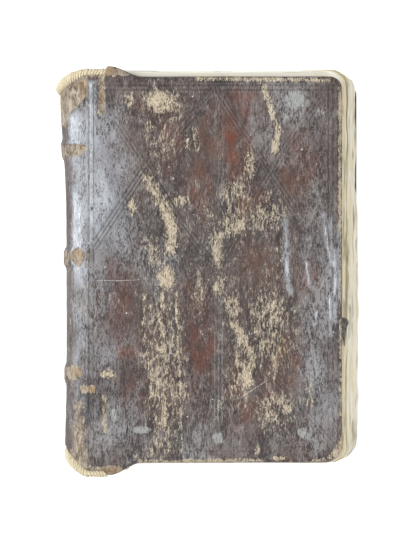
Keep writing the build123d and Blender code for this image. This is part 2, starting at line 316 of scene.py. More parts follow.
WEAR_STREAKS: tuple[Streak, ...] = (
    Streak(Tone.TAN, 6.5, 0.68, ((147, 178), (160, 198), (171, 222), (171, 252))),
    Streak(Tone.TAN, 2.6, 0.62, ((145, 294), (143, 330), (152, 380), (157, 452))),
    Streak(Tone.TAN, 2.6, 0.62, ((163, 294), (160, 340), (166, 375), (163, 400), (170, 452))),
    Streak(Tone.TAN, 2.2, 0.55, ((176, 294), (178, 330), (179, 360), (181, 400), (182, 452))),
    Streak(Tone.TAN, 4.2, 0.74, ((264, 84), (271, 108), (279, 130), (276, 150))),
    Streak(Tone.TAN, 5.5, 0.7, ((236, 326), (246, 345), (254, 358), (249, 374))),
    Streak(Tone.TAN, 2.7, 0.85, ((198, 78.5), (262, 79), (330, 80))),
    Streak(Tone.TAN, 2.4, 0.85, ((340.5, 88), (340.5, 230))),
    Streak(Tone.TAN, 2.0, 0.55, ((341, 400), (341, 445))),
    Streak(Tone.TAN, 4.5, 0.85, ((308, 463), (328, 461), (340, 451), (343, 440))),
    Streak(Tone.TAN, 2.8, 0.8, ((140, 462), (200, 462), (262, 461))),
    # Gloss streaks: painted sheen, and where strongest painted white glints.
    Streak(Tone.GLOSS_AND_PAINTED_SHEEN, 3.6, 0.6, ((286, 222), (287, 240), (286, 262), (288, 276), (291, 292))),
    Streak(Tone.GLOSS_AND_PAINTED_SHEEN, 1.5, 0.92, ((286, 226), (287, 246))),
    Streak(Tone.GLOSS_AND_PAINTED_SHEEN, 1.5, 0.92, ((287, 258), (288, 276))),
    Streak(Tone.GLOSS_AND_PAINTED_SHEEN, 1.5, 0.88, ((307, 262), (308, 272), (310, 286))),
    Streak(Tone.GLOSS_AND_PAINTED_SHEEN, 3.4, 0.6, ((325, 215), (326, 236), (331, 262), (329, 285), (332, 335))),
    Streak(Tone.GLOSS_AND_PAINTED_SHEEN, 3.6, 0.62, ((330, 222), (333, 245), (337, 270), (334, 300), (336, 322))),
    Streak(Tone.GLOSS_AND_PAINTED_SHEEN, 1.5, 0.92, ((326, 228), (330, 258))),
    Streak(Tone.GLOSS_AND_PAINTED_SHEEN, 1.6, 0.92, ((334, 262), (336, 276), (335, 294))),
    Streak(Tone.GLOSS_AND_PAINTED_SHEEN, 1.4, 0.92, ((330, 296), (331, 318))),
    Streak(Tone.GLOSS_AND_PAINTED_SHEEN, 1.9, 0.7, ((339.5, 225), (339, 262), (340, 300))),
    Streak(Tone.GLOSS_AND_PAINTED_SHEEN, 1.6, 0.85, ((317, 312), (315, 326))),
    Streak(Tone.TAN, 1.6, 0.75, ((341, 230), (341, 330), (342, 400))),
    Streak(Tone.SUEDE, 3.4, 1.0, ((101.5, 74), (102.5, 96), (101, 112))),
    Streak(Tone.SUEDE, 3.0, 1.0, ((98, 68), (106, 66.5), (111, 67.5))),
    Streak(Tone.SUEDE, 3.2, 1.0, ((88, 73), (104, 72), (118, 71.5), (126, 73))),
)

WEAR_PATCHES: tuple[Patch, ...] = (
    Patch(Tone.SUEDE, 84, 68, 106, 77, 1.8, 0.85),
    # A band of painted sheen beside the front joint.
    Patch(Tone.GLOSS_AND_PAINTED_SHEEN, 86, 80, 97, 250, 3.0, 0.8),
    Patch(Tone.SUEDE, 101.5, 394, 107.5, 434, 3.0, 0.8),
    Patch(Tone.OCHRE, 86, 386, 96, 393.5, 2.0, 0.8),
    Patch(Tone.TAN, 84, 385.5, 96.5, 394, 2.0, 0.95),
    Patch(Tone.SUEDE, 84, 466, 122, 482, 1.5, 0.85),
)

LIFTED_FLAP = Oval(Tone.TAN, 107, 374.5, 9, 5, 1.0)
RUBBED_ZONE = Oval(Tone.TAN, 220, 265, 85, 165, 0.25)


@dataclass(frozen=True)
class ToolLine:
    """A group of parallel tooled lines through photo pixels."""

    points: tuple[Point, ...]
    count: int = 3
    spacing: float = 1.85
    depth: float = 0.32
    half_width: float = 0.55
    # How dark the painted shade in the grooves is, and how bright the painted highlight at their rims.
    strength: float = 1.0
    pale: float = 0.0

    def runs(self) -> list[tuple[Vector, Vector]]:
        """Each straight run of each line of the group, in millimetres on the cover.

        Returns:
            The start and the end of each run.
        """
        found = []
        places = [Vector(PHOTO.place(point)) for point in self.points]
        for index in range(self.count):
            shift = (index - (self.count - 1) / 2) * self.spacing
            for start, stop in zip(places, places[1:]):
                run = (stop - start).normalized()
                across = Vector((-run.y, run.x)) * shift
                found.append((start + across, stop + across))
        return found


def scratch(pale: float, *points: Point) -> ToolLine:
    """A single fine pale scratch through photo pixels."""
    return ToolLine(points, count=1, half_width=0.3, depth=0.12, strength=0.0, pale=pale)


TOOL_LINES: tuple[ToolLine, ...] = (
    ToolLine(((91.5, 84), (91.5, 262)), count=2, spacing=2.4, strength=1.3),
    ToolLine(((91.5, 262), (91.5, 452)), count=2, spacing=2.4, strength=0.5),
    ToolLine(((333.8, 84), (333.8, 300)), spacing=2.4, strength=0.75),
    ToolLine(((333.8, 300), (333.8, 452)), spacing=2.4, strength=0.4),
    ToolLine(((93, 87.5), (338, 87.5)), count=2, spacing=2.4, strength=0.7),
    ToolLine(((93, 449.5), (338, 449.5)), count=2, spacing=2.4, strength=0.3),
    ToolLine(((218.8, 90), (218.8, 330)), spacing=1.95, strength=0.55, pale=0.12),
    ToolLine(((218.8, 330), (218.8, 422)), spacing=1.95, strength=0.4, pale=0.3),
    ToolLine(((93, 88), (146, 167)), strength=0.6),
    ToolLine(((146, 167), (178.6, 219), (217, 270)), strength=0.9),
    ToolLine(((94, 247), (146, 168)), strength=1.35),
    ToolLine(((146, 168), (216, 89)), strength=0.55),
    ToolLine(((215.7, 90), (247.8, 138.6)), strength=0.7),
    ToolLine(((247.8, 138.6), (296.4, 212.8)), strength=0.7),
    ToolLine(((296.4, 212.8), (332, 265)), strength=0.25),
    ToolLine(((328, 87), (285, 150)), strength=0.6),
    ToolLine(((285, 150), (246.4, 218), (219, 268)), strength=0.7),
    ToolLine(((216, 272), (194, 311), (127, 412), (95, 451)), strength=0.3),
    ToolLine(((220, 272), (230, 310), (268, 373)), strength=0.4),
    ToolLine(((268, 373), (308, 417), (333, 447)), strength=0.55),
    ToolLine(((332, 268), (291, 331), (276, 352), (221, 446)), strength=0.25),
    ToolLine(((95, 292), (214, 446)), strength=0.2),
    ToolLine(((190, 259.5), (245, 259.5)), count=2, spacing=2.5, strength=0.7),
    scratch(0.8, (97, 280.6), (120, 281), (140, 280)),
    scratch(0.9, (240, 399), (268, 380.5)),
)


class Signal:
    """A number that varies over a material, with the usual sums and products."""

    def __init__(self, paint: Paint, socket: bpy.types.NodeSocket) -> None:
        """Keep the number's socket and the material that it belongs to."""
        self.paint = paint
        self.socket = socket

    def __add__(self, other: Any) -> Signal:
        """This number plus another."""
        return self.paint.math("ADD", self, other)

    def __sub__(self, other: Any) -> Signal:
        """This number less another."""
        return self.paint.math("SUBTRACT", self, other)

    def __rsub__(self, other: Any) -> Signal:
        """Another number less this one."""
        return self.paint.math("SUBTRACT", other, self)

    def __mul__(self, other: Any) -> Signal:
        """This number times another."""
        return self.paint.math("MULTIPLY", self, other)

    __radd__ = __add__
    __rmul__ = __mul__

    def most(self, other: Any) -> Signal:
        """The larger of this number and another."""
        return self.paint.math("MAXIMUM", self, other)

    def least(self, other: Any) -> Signal:
        """The smaller of this number and another."""
        return self.paint.math("MINIMUM", self, other)

    def step(self, low: float, high: float) -> Signal:
        """A smooth step from 0 at the low value to 1 at the high one.

        Args:
            low: Where the step is 0.
            high: Where the step is 1.

        Returns:
            The step.
        """
        node = self.paint.add("ShaderNodeMapRange", interpolation_type="SMOOTHSTEP")
        self.paint.feed(node.inputs["Value"], self)
        node.inputs["From Min"].default_value = low
        node.inputs["From Max"].default_value = high
        return Signal(self.paint, node.outputs["Result"])


class Paint:
    """Builds one procedural material from nodes, in the piece's own coordinates."""

    def __init__(self, name: str) -> None:
        """Start an empty material with an output and a main shader.

        Args:
            name: The material's name.
        """
        self.material = bpy.data.materials.new(name)
        self.material.use_nodes = True
        self.tree = self.material.node_tree
        self.tree.nodes.clear()
        self.output = self.add("ShaderNodeOutputMaterial")
        self.shader = self.add("ShaderNodeBsdfPrincipled")
        self.tree.links.new(self.shader.outputs[0], self.output.inputs["Surface"])
        self.place = self.add("ShaderNodeTexCoord").outputs["Object"]

    def add(self, kind: str, **settings: Any) -> bpy.types.Node:
        """Add a node and set its options.

        Args:
            kind: The node's type.
            **settings: Its options by name.

        Returns:
            The node.
        """
        node = self.tree.nodes.new(kind)
        for name, value in settings.items():
            setattr(node, name, value)
        return node

    def feed(self, socket: bpy.types.NodeSocket, value: Any) -> None:
        """Link a socket to another one, or set its value.

        Args:
            socket: The input.
            value: A number that varies, a socket or a constant.
        """
        source = value.socket if isinstance(value, Signal) else value
        if isinstance(source, bpy.types.NodeSocket):
            self.tree.links.new(source, socket)
        else:
            socket.default_value = source

    def coordinates(self, per_mm: RGB) -> bpy.types.NodeSocket:
        """Places on the piece, scaled to a number of pattern units for each millimetre.

        Args:
            per_mm: Pattern units for each millimetre along each axis.

        Returns:
            The scaled places.
        """
        mapping = self.add("ShaderNodeMapping")
        self.feed(mapping.inputs["Vector"], self.place)
        mapping.inputs["Scale"].default_value = [share / METRES_PER_MM for share in per_mm]
        return mapping.outputs[0]

    def noise(self, per_mm: RGB, detail: float = 4.0, roughness: float = 0.55, wander: float = 0.0) -> Signal:
        """Cloudy noise around 0.5, with pattern units for each millimetre along each axis.

        Args:
            per_mm: Pattern units for each millimetre along each axis.
            detail: How many finer layers it has.
            roughness: How strong the finer layers are.
            wander: How far the pattern is drawn about.

        Returns:
            The noise.
        """
        texture = self.add("ShaderNodeTexNoise")
        self.feed(texture.inputs["Vector"], self.coordinates(per_mm))
        texture.inputs["Scale"].default_value = 1.0
        texture.inputs["Detail"].default_value = detail
        texture.inputs["Roughness"].default_value = roughness
        texture.inputs["Distortion"].default_value = wander
        return Signal(self, texture.outputs["Fac"])

    def cells(self, per_mm: RGB, feature: str = "DISTANCE_TO_EDGE", wander: float = 0.0) -> Signal:
        """Distances in a pattern of cells, with cells for each millimetre along each axis.

        Args:
            per_mm: Cells for each millimetre along each axis.
            feature: Which distance is meant.
            wander: How far the pattern is drawn about.

        Returns:
            The distances, in cells.
        """
        place = self.coordinates(per_mm)
        if wander:
            drift = self.add("ShaderNodeTexNoise")
            self.feed(drift.inputs["Vector"], place)
            drift.inputs["Scale"].default_value = 1.3
            shift = self.add("ShaderNodeVectorMath", operation="SCALE")
            self.feed(shift.inputs[0], drift.outputs["Color"])
            shift.inputs["Scale"].default_value = wander
            moved = self.add("ShaderNodeVectorMath", operation="ADD")
            self.feed(moved.inputs[0], place)
            self.feed(moved.inputs[1], shift.outputs[0])
            place = moved.outputs[0]
        texture = self.add("ShaderNodeTexVoronoi", feature=feature)
        self.feed(texture.inputs["Vector"], place)
        texture.inputs["Scale"].default_value = 1.0
        return Signal(self, texture.outputs["Distance"])

    def attribute(self, name: str) -> Signal:
        """A number kept on the piece's own vertices."""
        return Signal(self, self.add("ShaderNodeAttribute", attribute_name=name).outputs["Fac"])

    def math(self, operation: str, first: Any, second: Any) -> Signal:
        """Combine two numbers.

        Args:
            operation: How they are combined.
            first: The first number.
            second: The second number.

        Returns:
            The result.
        """
        node = self.add("ShaderNodeMath", operation=operation)
        self.feed(node.inputs[0], first)
        self.feed(node.inputs[1], second)
        return Signal(self, node.outputs[0])

    def mix(self, share: Any, first: Any, second: Any) -> bpy.types.NodeSocket:
        """Mix two colours by a share.

        Args:
            share: The share of the second colour.
            first: The first colour.
            second: The second colour.

        Returns:
            The mixed colour.
        """
        node = self.add("ShaderNodeMix", data_type="RGBA")
        self.feed(node.inputs[0], share)
        for socket, value in ((node.inputs[6], first), (node.inputs[7], second)):
            self.feed(socket, (*value, 1.0) if isinstance(value, tuple) else value)
        return node.outputs[2]

    def bump(self, height: Any, millimetres: float, below: Any = None) -> bpy.types.NodeSocket:
        """Raise the surface by a height pattern of so many millimetres, over another bump.

        Args:
            height: The pattern.
            millimetres: The height of its full value.
            below: The other bump.

        Returns:
            The surface's new direction.
        """
        node = self.add("ShaderNodeBump")
        node.inputs["Strength"].default_value = 1.0
        node.inputs["Distance"].default_value = millimetres * METRES_PER_MM
        self.feed(node.inputs["Height"], height)
        if below is not None:
            self.feed(node.inputs["Normal"], below)
        return node.outputs[0]

    def finish(self, colour: Any, roughness: Any, normal: Any = None) -> bpy.types.Material:
        """Feed the main shader and hand the material over.

        Args:
            colour: The surface's colour.
            roughness: Its roughness.
            normal: Its direction, when bumped.

        Returns:
            The finished material.
        """
        self.feed(self.shader.inputs["Base Color"], (*colour, 1.0) if isinstance(colour, tuple) else colour)
        self.feed(self.shader.inputs["Roughness"], roughness)
        if normal is not None:
            self.feed(self.shader.inputs["Normal"], normal)
        return self.material


@dataclass(frozen=True)
class LeatherFinish:
    """Old waxed calf: dark grain over red-brown, rubbed to tan fibres, with wax spots, and with sheen and
    glints painted into its colour.
    """

    name: str = "cover_leather"
    dark: RGB = (0.030, 0.027, 0.029)
    brown: RGB = (0.088, 0.061, 0.051)
    painted_highlight_grey: RGB = (0.268, 0.242, 0.222)
    # The next three colours are painted light: grey painted sheen on the grain's ridges, a bluish painted
    # sheen, and white painted glints.
    sheen: RGB = (0.515, 0.545, 0.600)
    white: RGB = (0.880, 0.890, 0.910)
    red: RGB = (0.180, 0.044, 0.018)
    tan: RGB = (0.470, 0.362, 0.246)
    pale_tan: RGB = (0.780, 0.680, 0.520)
    ochre: RGB = (0.380, 0.225, 0.095)
    suede: RGB = (0.125, 0.085, 0.055)
    pale_suede: RGB = (0.520, 0.450, 0.360)
    cream: RGB = (0.700, 0.610, 0.450)
    wax: RGB = (0.400, 0.410, 0.395)
    speck: RGB = (0.750, 0.740, 0.710)
    fibre_relief: float = 0.40
    crack_relief: float = 0.10
    worn_relief: float = 0.08
    roughness: float = 0.48
    shine: float = 0.3

    def ground(self, paint: Paint, fibre: Signal, streak: Signal, patches: Signal) -> bpy.types.NodeSocket:
        """The unworn leather: dark and red-brown, with grey hairs painted lighter where it is polished as
        painted sheen, and painted white glints.

        Args:
            paint: The material in the making.
            fibre: Fine short hairs.
            streak: Broad upright streaks.
            patches: Soft clouds.

        Returns:
            The colour.
        """
        clouds = paint.noise((0.05, 0.028, 0.05), detail=3.0)
        depth = 0.7 * clouds + 0.5 * streak + 0.5 * fibre
        colour = paint.mix(depth.step(0.66, 1.02), self.dark, self.brown)
        red = paint.attribute("red") * (0.55 * patches + 0.75 * fibre).step(0.50, 0.80)
        colour = paint.mix(red, colour, self.red)
        # The gloss mask paints sheen: it spreads the grey hairs and turns them towards the bluish painted
        # sheen colour.
        gloss_and_painted_sheen = paint.attribute("gloss_and_painted_sheen")
        raised = fibre + 0.13 * gloss_and_painted_sheen + 0.35 * (streak - 0.5)
        lively = paint.noise((0.07, 0.04, 0.07), detail=2.0).step(0.36, 0.62)
        strength = 0.4 * lively + 0.35 * gloss_and_painted_sheen + 0.32 - 0.42 * red
        painted_sheen_hairs = raised.step(0.44, 0.64) * strength.least(0.95)
        colour = paint.mix(painted_sheen_hairs, colour, paint.mix(gloss_and_painted_sheen, self.painted_highlight_grey, self.sheen))
        # Painted glints: white highlights painted where the gloss mask is strongest.
        painted_glint = gloss_and_painted_sheen.step(0.78, 1.0) * raised.step(0.60, 0.77)
        return paint.mix(0.9 * painted_glint, colour, self.white)

    def worn(self, paint: Paint, fibre: Signal, streak: Signal, grain: Signal) -> Signal:
        """Where the grain is rubbed off: in broken fibres, and along a net of raised wrinkles.

        Args:
            paint: The material in the making.
            fibre: Fine short hairs.
            streak: Broad upright streaks.
            grain: The finest specks.

        Returns:
            How far the leather is rubbed.
        """
        uneven = 2.6 * (fibre - 0.5) + 1.3 * (streak - 0.5)
        rubbed = (0.92 * paint.attribute("wear") + uneven + 0.5 * (grain - 0.5)).step(0.44, 0.84)
        ridge = 1.0 - paint.cells((0.32, 0.11, 0.32), wander=1.2).step(0.03, 0.14)
        return rubbed.most(0.9 * ridge * (paint.attribute("net") + uneven).step(0.32, 0.8))

    def bare(
        self, paint: Paint, fibre: Signal, streak: Signal, ochre: Signal
    ) -> tuple[Signal, bpy.types.NodeSocket]:
        """Where the grain has come away whole, and the mottled suede under it.

        Args:
            paint: The material in the making.
            fibre: Fine short hairs.
            streak: Broad upright streaks.
            ochre: Where the leather is stained yellow.

        Returns:
            How far the suede shows, and its colour.
        """
        share = paint.attribute("suede") + 1.1 * (fibre + streak - 1.0)
        mottle = paint.noise((0.34, 0.17, 0.34), detail=5.0, roughness=0.7, wander=0.8)
        nap = paint.mix((0.45 * fibre + 0.55 * mottle).step(0.40, 0.60), self.suede, self.pale_suede)
        spots = paint.noise((0.2, 0.13, 0.2), detail=3.0).step(0.55, 0.66)
        stain = (0.85 * ochre).most(0.35 * spots)
        return share.step(0.38, 0.60), paint.mix(stain, nap, self.ochre)

    def material(self) -> bpy.types.Material:
        """Build the material, which reads the wear kept on each piece's vertices.

        Returns:
            The finished material.
        """
        paint = Paint(self.name)
        squiggle = paint.noise((0.95, 0.40, 0.95), detail=4.0, roughness=0.66, wander=1.5)
        hairs = paint.noise((1.8, 0.36, 1.8), detail=3.0, roughness=0.6, wander=0.5)
        fibre = 0.62 * squiggle + 0.38 * hairs
        streak = paint.noise((0.21, 0.085, 0.21), detail=4.0, roughness=0.6, wander=1.2)
        grain = paint.noise((2.0, 1.2, 2.0), detail=3.0, roughness=0.6)
        patches = paint.noise((0.16, 0.09, 0.16), detail=4.0)
        cracks = paint.cells((0.85, 0.30, 0.85), wander=0.7)

        colour = self.ground(paint, fibre, streak, patches)
        worn = self.worn(paint, fibre, streak, grain)
        ochre = paint.attribute("ochre") * patches.step(0.3, 0.6)
        tan = paint.mix((0.6 * fibre + 0.4 * grain).step(0.40, 0.60), self.tan, self.pale_tan)
        colour = paint.mix(0.92 * worn, colour, paint.mix(0.8 * ochre, tan, self.ochre))
        split = (1.0 - cracks.step(0.0, 0.07)) * paint.attribute("wear").step(0.05, 0.6)
        colour = paint.mix(0.35 * split, colour, self.dark)

        suede, nap = self.bare(paint, fibre, streak, ochre)
        colour = paint.mix(suede, colour, nap)
        lining = (paint.attribute("cream") + fibre - 0.5).step(0.4, 0.6)
        colour = paint.mix(lining, colour, self.cream)
        waxed = (paint.attribute("wax") + 1.2 * (fibre - 0.5)).step(0.4, 0.72) * fibre.step(0.22, 0.62)
        colour = paint.mix(waxed, colour, self.wax)
        # Painted highlight along the tooled lines' rims, and painted shade darkening their grooves.
        rim = paint.attribute("rim") * patches.step(0.25, 0.65)
        colour = paint.mix(0.4 * rim, colour, self.painted_highlight_grey)
        groove = paint.attribute("groove") * patches.step(0.1, 0.6)
        colour = paint.mix(0.55 * groove, colour, self.dark)
        scratched = paint.attribute("scratch") * fibre.step(0.34, 0.58)
        colour = paint.mix(scratched, colour, self.speck)
        dust = 1.0 - paint.cells((0.09, 0.09, 0.09), "F1").step(0.02, 0.05)
        colour = paint.mix(dust, colour, self.speck)

        dull = worn.most(suede).most(waxed)
        roughness = self.roughness - 0.12 * paint.attribute("gloss_and_painted_sheen") + 0.35 * dull
        paint.shader.inputs["Specular IOR Level"].default_value = self.shine
        normal = paint.bump(fibre, self.fibre_relief)
        normal = paint.bump(cracks.step(0.0, 0.12), self.crack_relief, normal)
        return paint.finish(colour, roughness, paint.bump(worn, self.worn_relief, normal))


@dataclass(frozen=True)
class PaperFinish:
    """Old rag paper: cream, soiled at the edges, with the lines of many leaves on its cut sides, darkened by
    painted shade between the leaves.
    """

    name: str
    cream: RGB = (0.860, 0.790, 0.590)
    pale: RGB = (0.930, 0.910, 0.830)
    soiled: RGB = (0.400, 0.330, 0.180)
    painted_leaf_shade: RGB = (0.150, 0.120, 0.075)
    leaves_per_mm: float = 1.6

    def material(self) -> bpy.types.Material:
        """Build the material, which reads the soiling kept on each piece's vertices.

        Returns:
            The finished material.
        """
        paint = Paint(self.name)
        soil = paint.attribute("soil")
        clouds = paint.noise((0.05, 0.05, 0.3), detail=4.0)
        leaves = paint.noise((0.03, 0.03, self.leaves_per_mm), detail=3.0, roughness=0.7)
        fibres = paint.noise((1.1, 1.1, 1.1), detail=3.0)
        colour = paint.mix((clouds - 0.6 * soil).step(0.30, 0.62), self.cream, self.pale)
        colour = paint.mix((soil + 0.5 * clouds).step(0.45, 1.15), colour, self.soiled)
        # Painted shade in the gaps between the leaves on the cut edges.
        colour = paint.mix(0.6 * (1.0 - leaves.step(0.3, 0.5)), colour, self.painted_leaf_shade)
        return paint.finish(colour, 0.85, paint.bump(fibres, 0.05, paint.bump(leaves, 0.22)))


@dataclass(frozen=True)
class SheetFinish:
    """Plain paper with soft stains and a laid texture."""

    name: str
    cream: RGB
    stain: RGB

    def material(self) -> bpy.types.Material:
        """Build the material.

        Returns:
            The finished material.
        """
        paint = Paint(self.name)
        clouds = paint.noise((0.03, 0.03, 0.03), detail=5.0, roughness=0.65)
        laid = paint.noise((0.05, 1.2, 0.05), detail=2.0)
        flecks = paint.noise((0.5, 0.5, 0.5), detail=3.0).step(0.66, 0.74)
        colour = paint.mix(clouds.step(0.48, 0.78), self.cream, self.stain)
        colour = paint.mix(0.4 * flecks, colour, self.stain)
        return paint.finish(colour, 0.88, paint.bump(laid, 0.06, paint.bump(clouds, 0.5)))


@dataclass(frozen=True)
class WoodFinish:
    """Plain sawn board with grain along the book's height."""

    name: str = "board_wood"
    early: RGB = (0.420, 0.270, 0.150)
    late: RGB = (0.210, 0.120, 0.065)

    def material(self) -> bpy.types.Material:
        """Build the material.

        Returns:
            The finished material.
        """
        paint = Paint(self.name)
        rings = paint.noise((0.55, 0.012, 0.55), detail=4.0, roughness=0.6)
        pores = paint.noise((3.0, 0.09, 3.0), detail=2.0)
        colour = paint.mix(rings.step(0.38, 0.66), self.early, self.late)
        colour = paint.mix(0.6 * pores.step(0.6, 0.75), colour, self.late)
        return paint.finish(colour, 0.72, paint.bump(pores, 0.08))


@dataclass(frozen=True)
class FibreFinish:
    """Thread, cord, cloth or tawed skin: two tones in fine fibres."""

    name: str
    light: RGB
    shade: RGB
    per_mm: RGB
    relief: float
    soil: RGB = (0.250, 0.170, 0.085)
    soil_share: float = 0.5

    def material(self) -> bpy.types.Material:
        """Build the material.

        Returns:
            The finished material.
        """
        paint = Paint(self.name)
        fibres = paint.noise(self.per_mm, detail=4.0, roughness=0.65)
        clouds = paint.noise((0.16, 0.16, 0.16), detail=3.0)
        colour = paint.mix(fibres.step(0.36, 0.64), self.shade, self.light)
        colour = paint.mix(self.soil_share * clouds.step(0.5, 0.72), colour, self.soil)
        return paint.finish(colour, 0.9, paint.bump(fibres, self.relief))


LEAF_FACE = SheetFinish("leaf_face", (0.850, 0.805, 0.680), (0.740, 0.660, 0.510))
TAB = FibreFinish("tab_leather", (0.230, 0.220, 0.210), (0.080, 0.075, 0.072), (0.9, 0.5, 0.9), 0.15)
PASTEDOWN = SheetFinish("pastedown_paper", (0.700, 0.620, 0.460), (0.420, 0.320, 0.190))
THREAD = FibreFinish("endband_thread", (0.880, 0.810, 0.620), (0.600, 0.480, 0.290), (2.2, 2.2, 2.2), 0.2)
CORD = FibreFinish("endband_core", (0.560, 0.450, 0.300), (0.300, 0.220, 0.130), (2.0, 2.0, 2.0), 0.2)
TAWED = FibreFinish("support_thong", (0.700, 0.590, 0.420), (0.450, 0.350, 0.220), (0.9, 0.9, 0.9), 0.15)
CLOTH = FibreFinish("lining_cloth", (0.640, 0.580, 0.460), (0.420, 0.360, 0.260), (2.4, 2.4, 2.4), 0.2)


@dataclass(frozen=True)
class BookFrame:
    """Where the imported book's covers, joints and leaves lie, in millimetres."""

    front_joint: float
    back_joint: float
    top: float
    middle: float
    half_height: float
    width: float
    leather_depth: float
    head_rise: float
    tail_rise: float
    leaf_low: float
    leaf_high: float

    @classmethod
    def read(cls, frame: dict[str, Any]) -> BookFrame:
        """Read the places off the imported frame.


        Returns:
            The places in millimetres.
        """
        hinges = {joint["name"]: Vector(joint["pos_m"]) / METRES_PER_MM for joint in frame["joints"]}
        board_low, board_high = (corner / METRES_PER_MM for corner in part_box("front_board"))
        low, high = (corner / METRES_PER_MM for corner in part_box("front_cover_leather"))
        skin = high.x - board_high.x
        middle = (board_low.y + board_high.y) / 2
        half_height = (board_high.y - board_low.y) / 2 + skin
        pastedown_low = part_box("front_pastedown")[0] / METRES_PER_MM
        back_pastedown_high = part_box("back_pastedown")[1] / METRES_PER_MM
        return cls(
            front_joint=hinges["front_cover_hinge"].x,
            back_joint=hinges["back_cover_hinge"].x,
            top=hinges["front_cover_hinge"].z,
            middle=middle,
            half_height=half_height,
            width=high.x - hinges["front_cover_hinge"].x,
            leather_depth=high.z - low.z,
            head_rise=high.y - middle - half_height,
            tail_rise=middle - half_height - low.y,
            leaf_low=back_pastedown_high.z,
            leaf_high=pastedown_low.z,
        )


def make_piece(name: str, mesh: bmesh.types.BMesh, material: bpy.types.Material) -> bpy.types.Object:
    """Turn a mesh in millimetres into a smooth piece in metres.

    Args:
        name: The piece's name.
        mesh: The mesh, which is freed.
        material: The piece's finish.

    Returns:
        The new object, at the origin.
    """
    bmesh.ops.transform(mesh, matrix=Matrix.Scale(METRES_PER_MM, 4), verts=mesh.verts)
    data = bpy.data.meshes.new(name)
    mesh.to_mesh(data)
    mesh.free()
    data.shade_smooth()
    data.materials.append(material)
    piece = bpy.data.objects.new(name, data)
    bpy.context.scene.collection.objects.link(piece)
    return piece


def keep_values(piece: bpy.types.Object, values: dict[str, np.ndarray]) -> None:
    """Keep named numbers on a piece's vertices for its finish.

    Args:
        piece: The piece.
        values: One number for each vertex, for each name.
    """
    for name, numbers in values.items():
        attribute = piece.data.attributes.new(name, "FLOAT", "POINT")
        attribute.data.foreach_set("value", numbers.astype(np.float32))


def face_along(mesh: bmesh.types.BMesh, index: int, way: Point3) -> None:
    """Turn all the faces of an open sheet so that one of them looks a given way.

    Args:
        mesh: The sheet.
        index: The number of the face that decides.
        way: The way it should look.
    """
    bmesh.ops.recalc_face_normals(mesh, faces=mesh.faces)
    mesh.faces.ensure_lookup_table()
    if mesh.faces[index].normal.dot(Vector(way)) < 0:
        bmesh.ops.reverse_faces(mesh, faces=mesh.faces)


def places_of(mesh: bmesh.types.BMesh) -> np.ndarray:
    """The coordinates of a mesh's vertices, one row each."""
    return np.array([vertex.co[:] for vertex in mesh.verts])


def move_to(mesh: bmesh.types.BMesh, places: np.ndarray) -> None:
    """Put each vertex of a mesh at its row of coordinates."""
    for vertex, place in zip(mesh.verts, places.tolist()):
        vertex.co = place


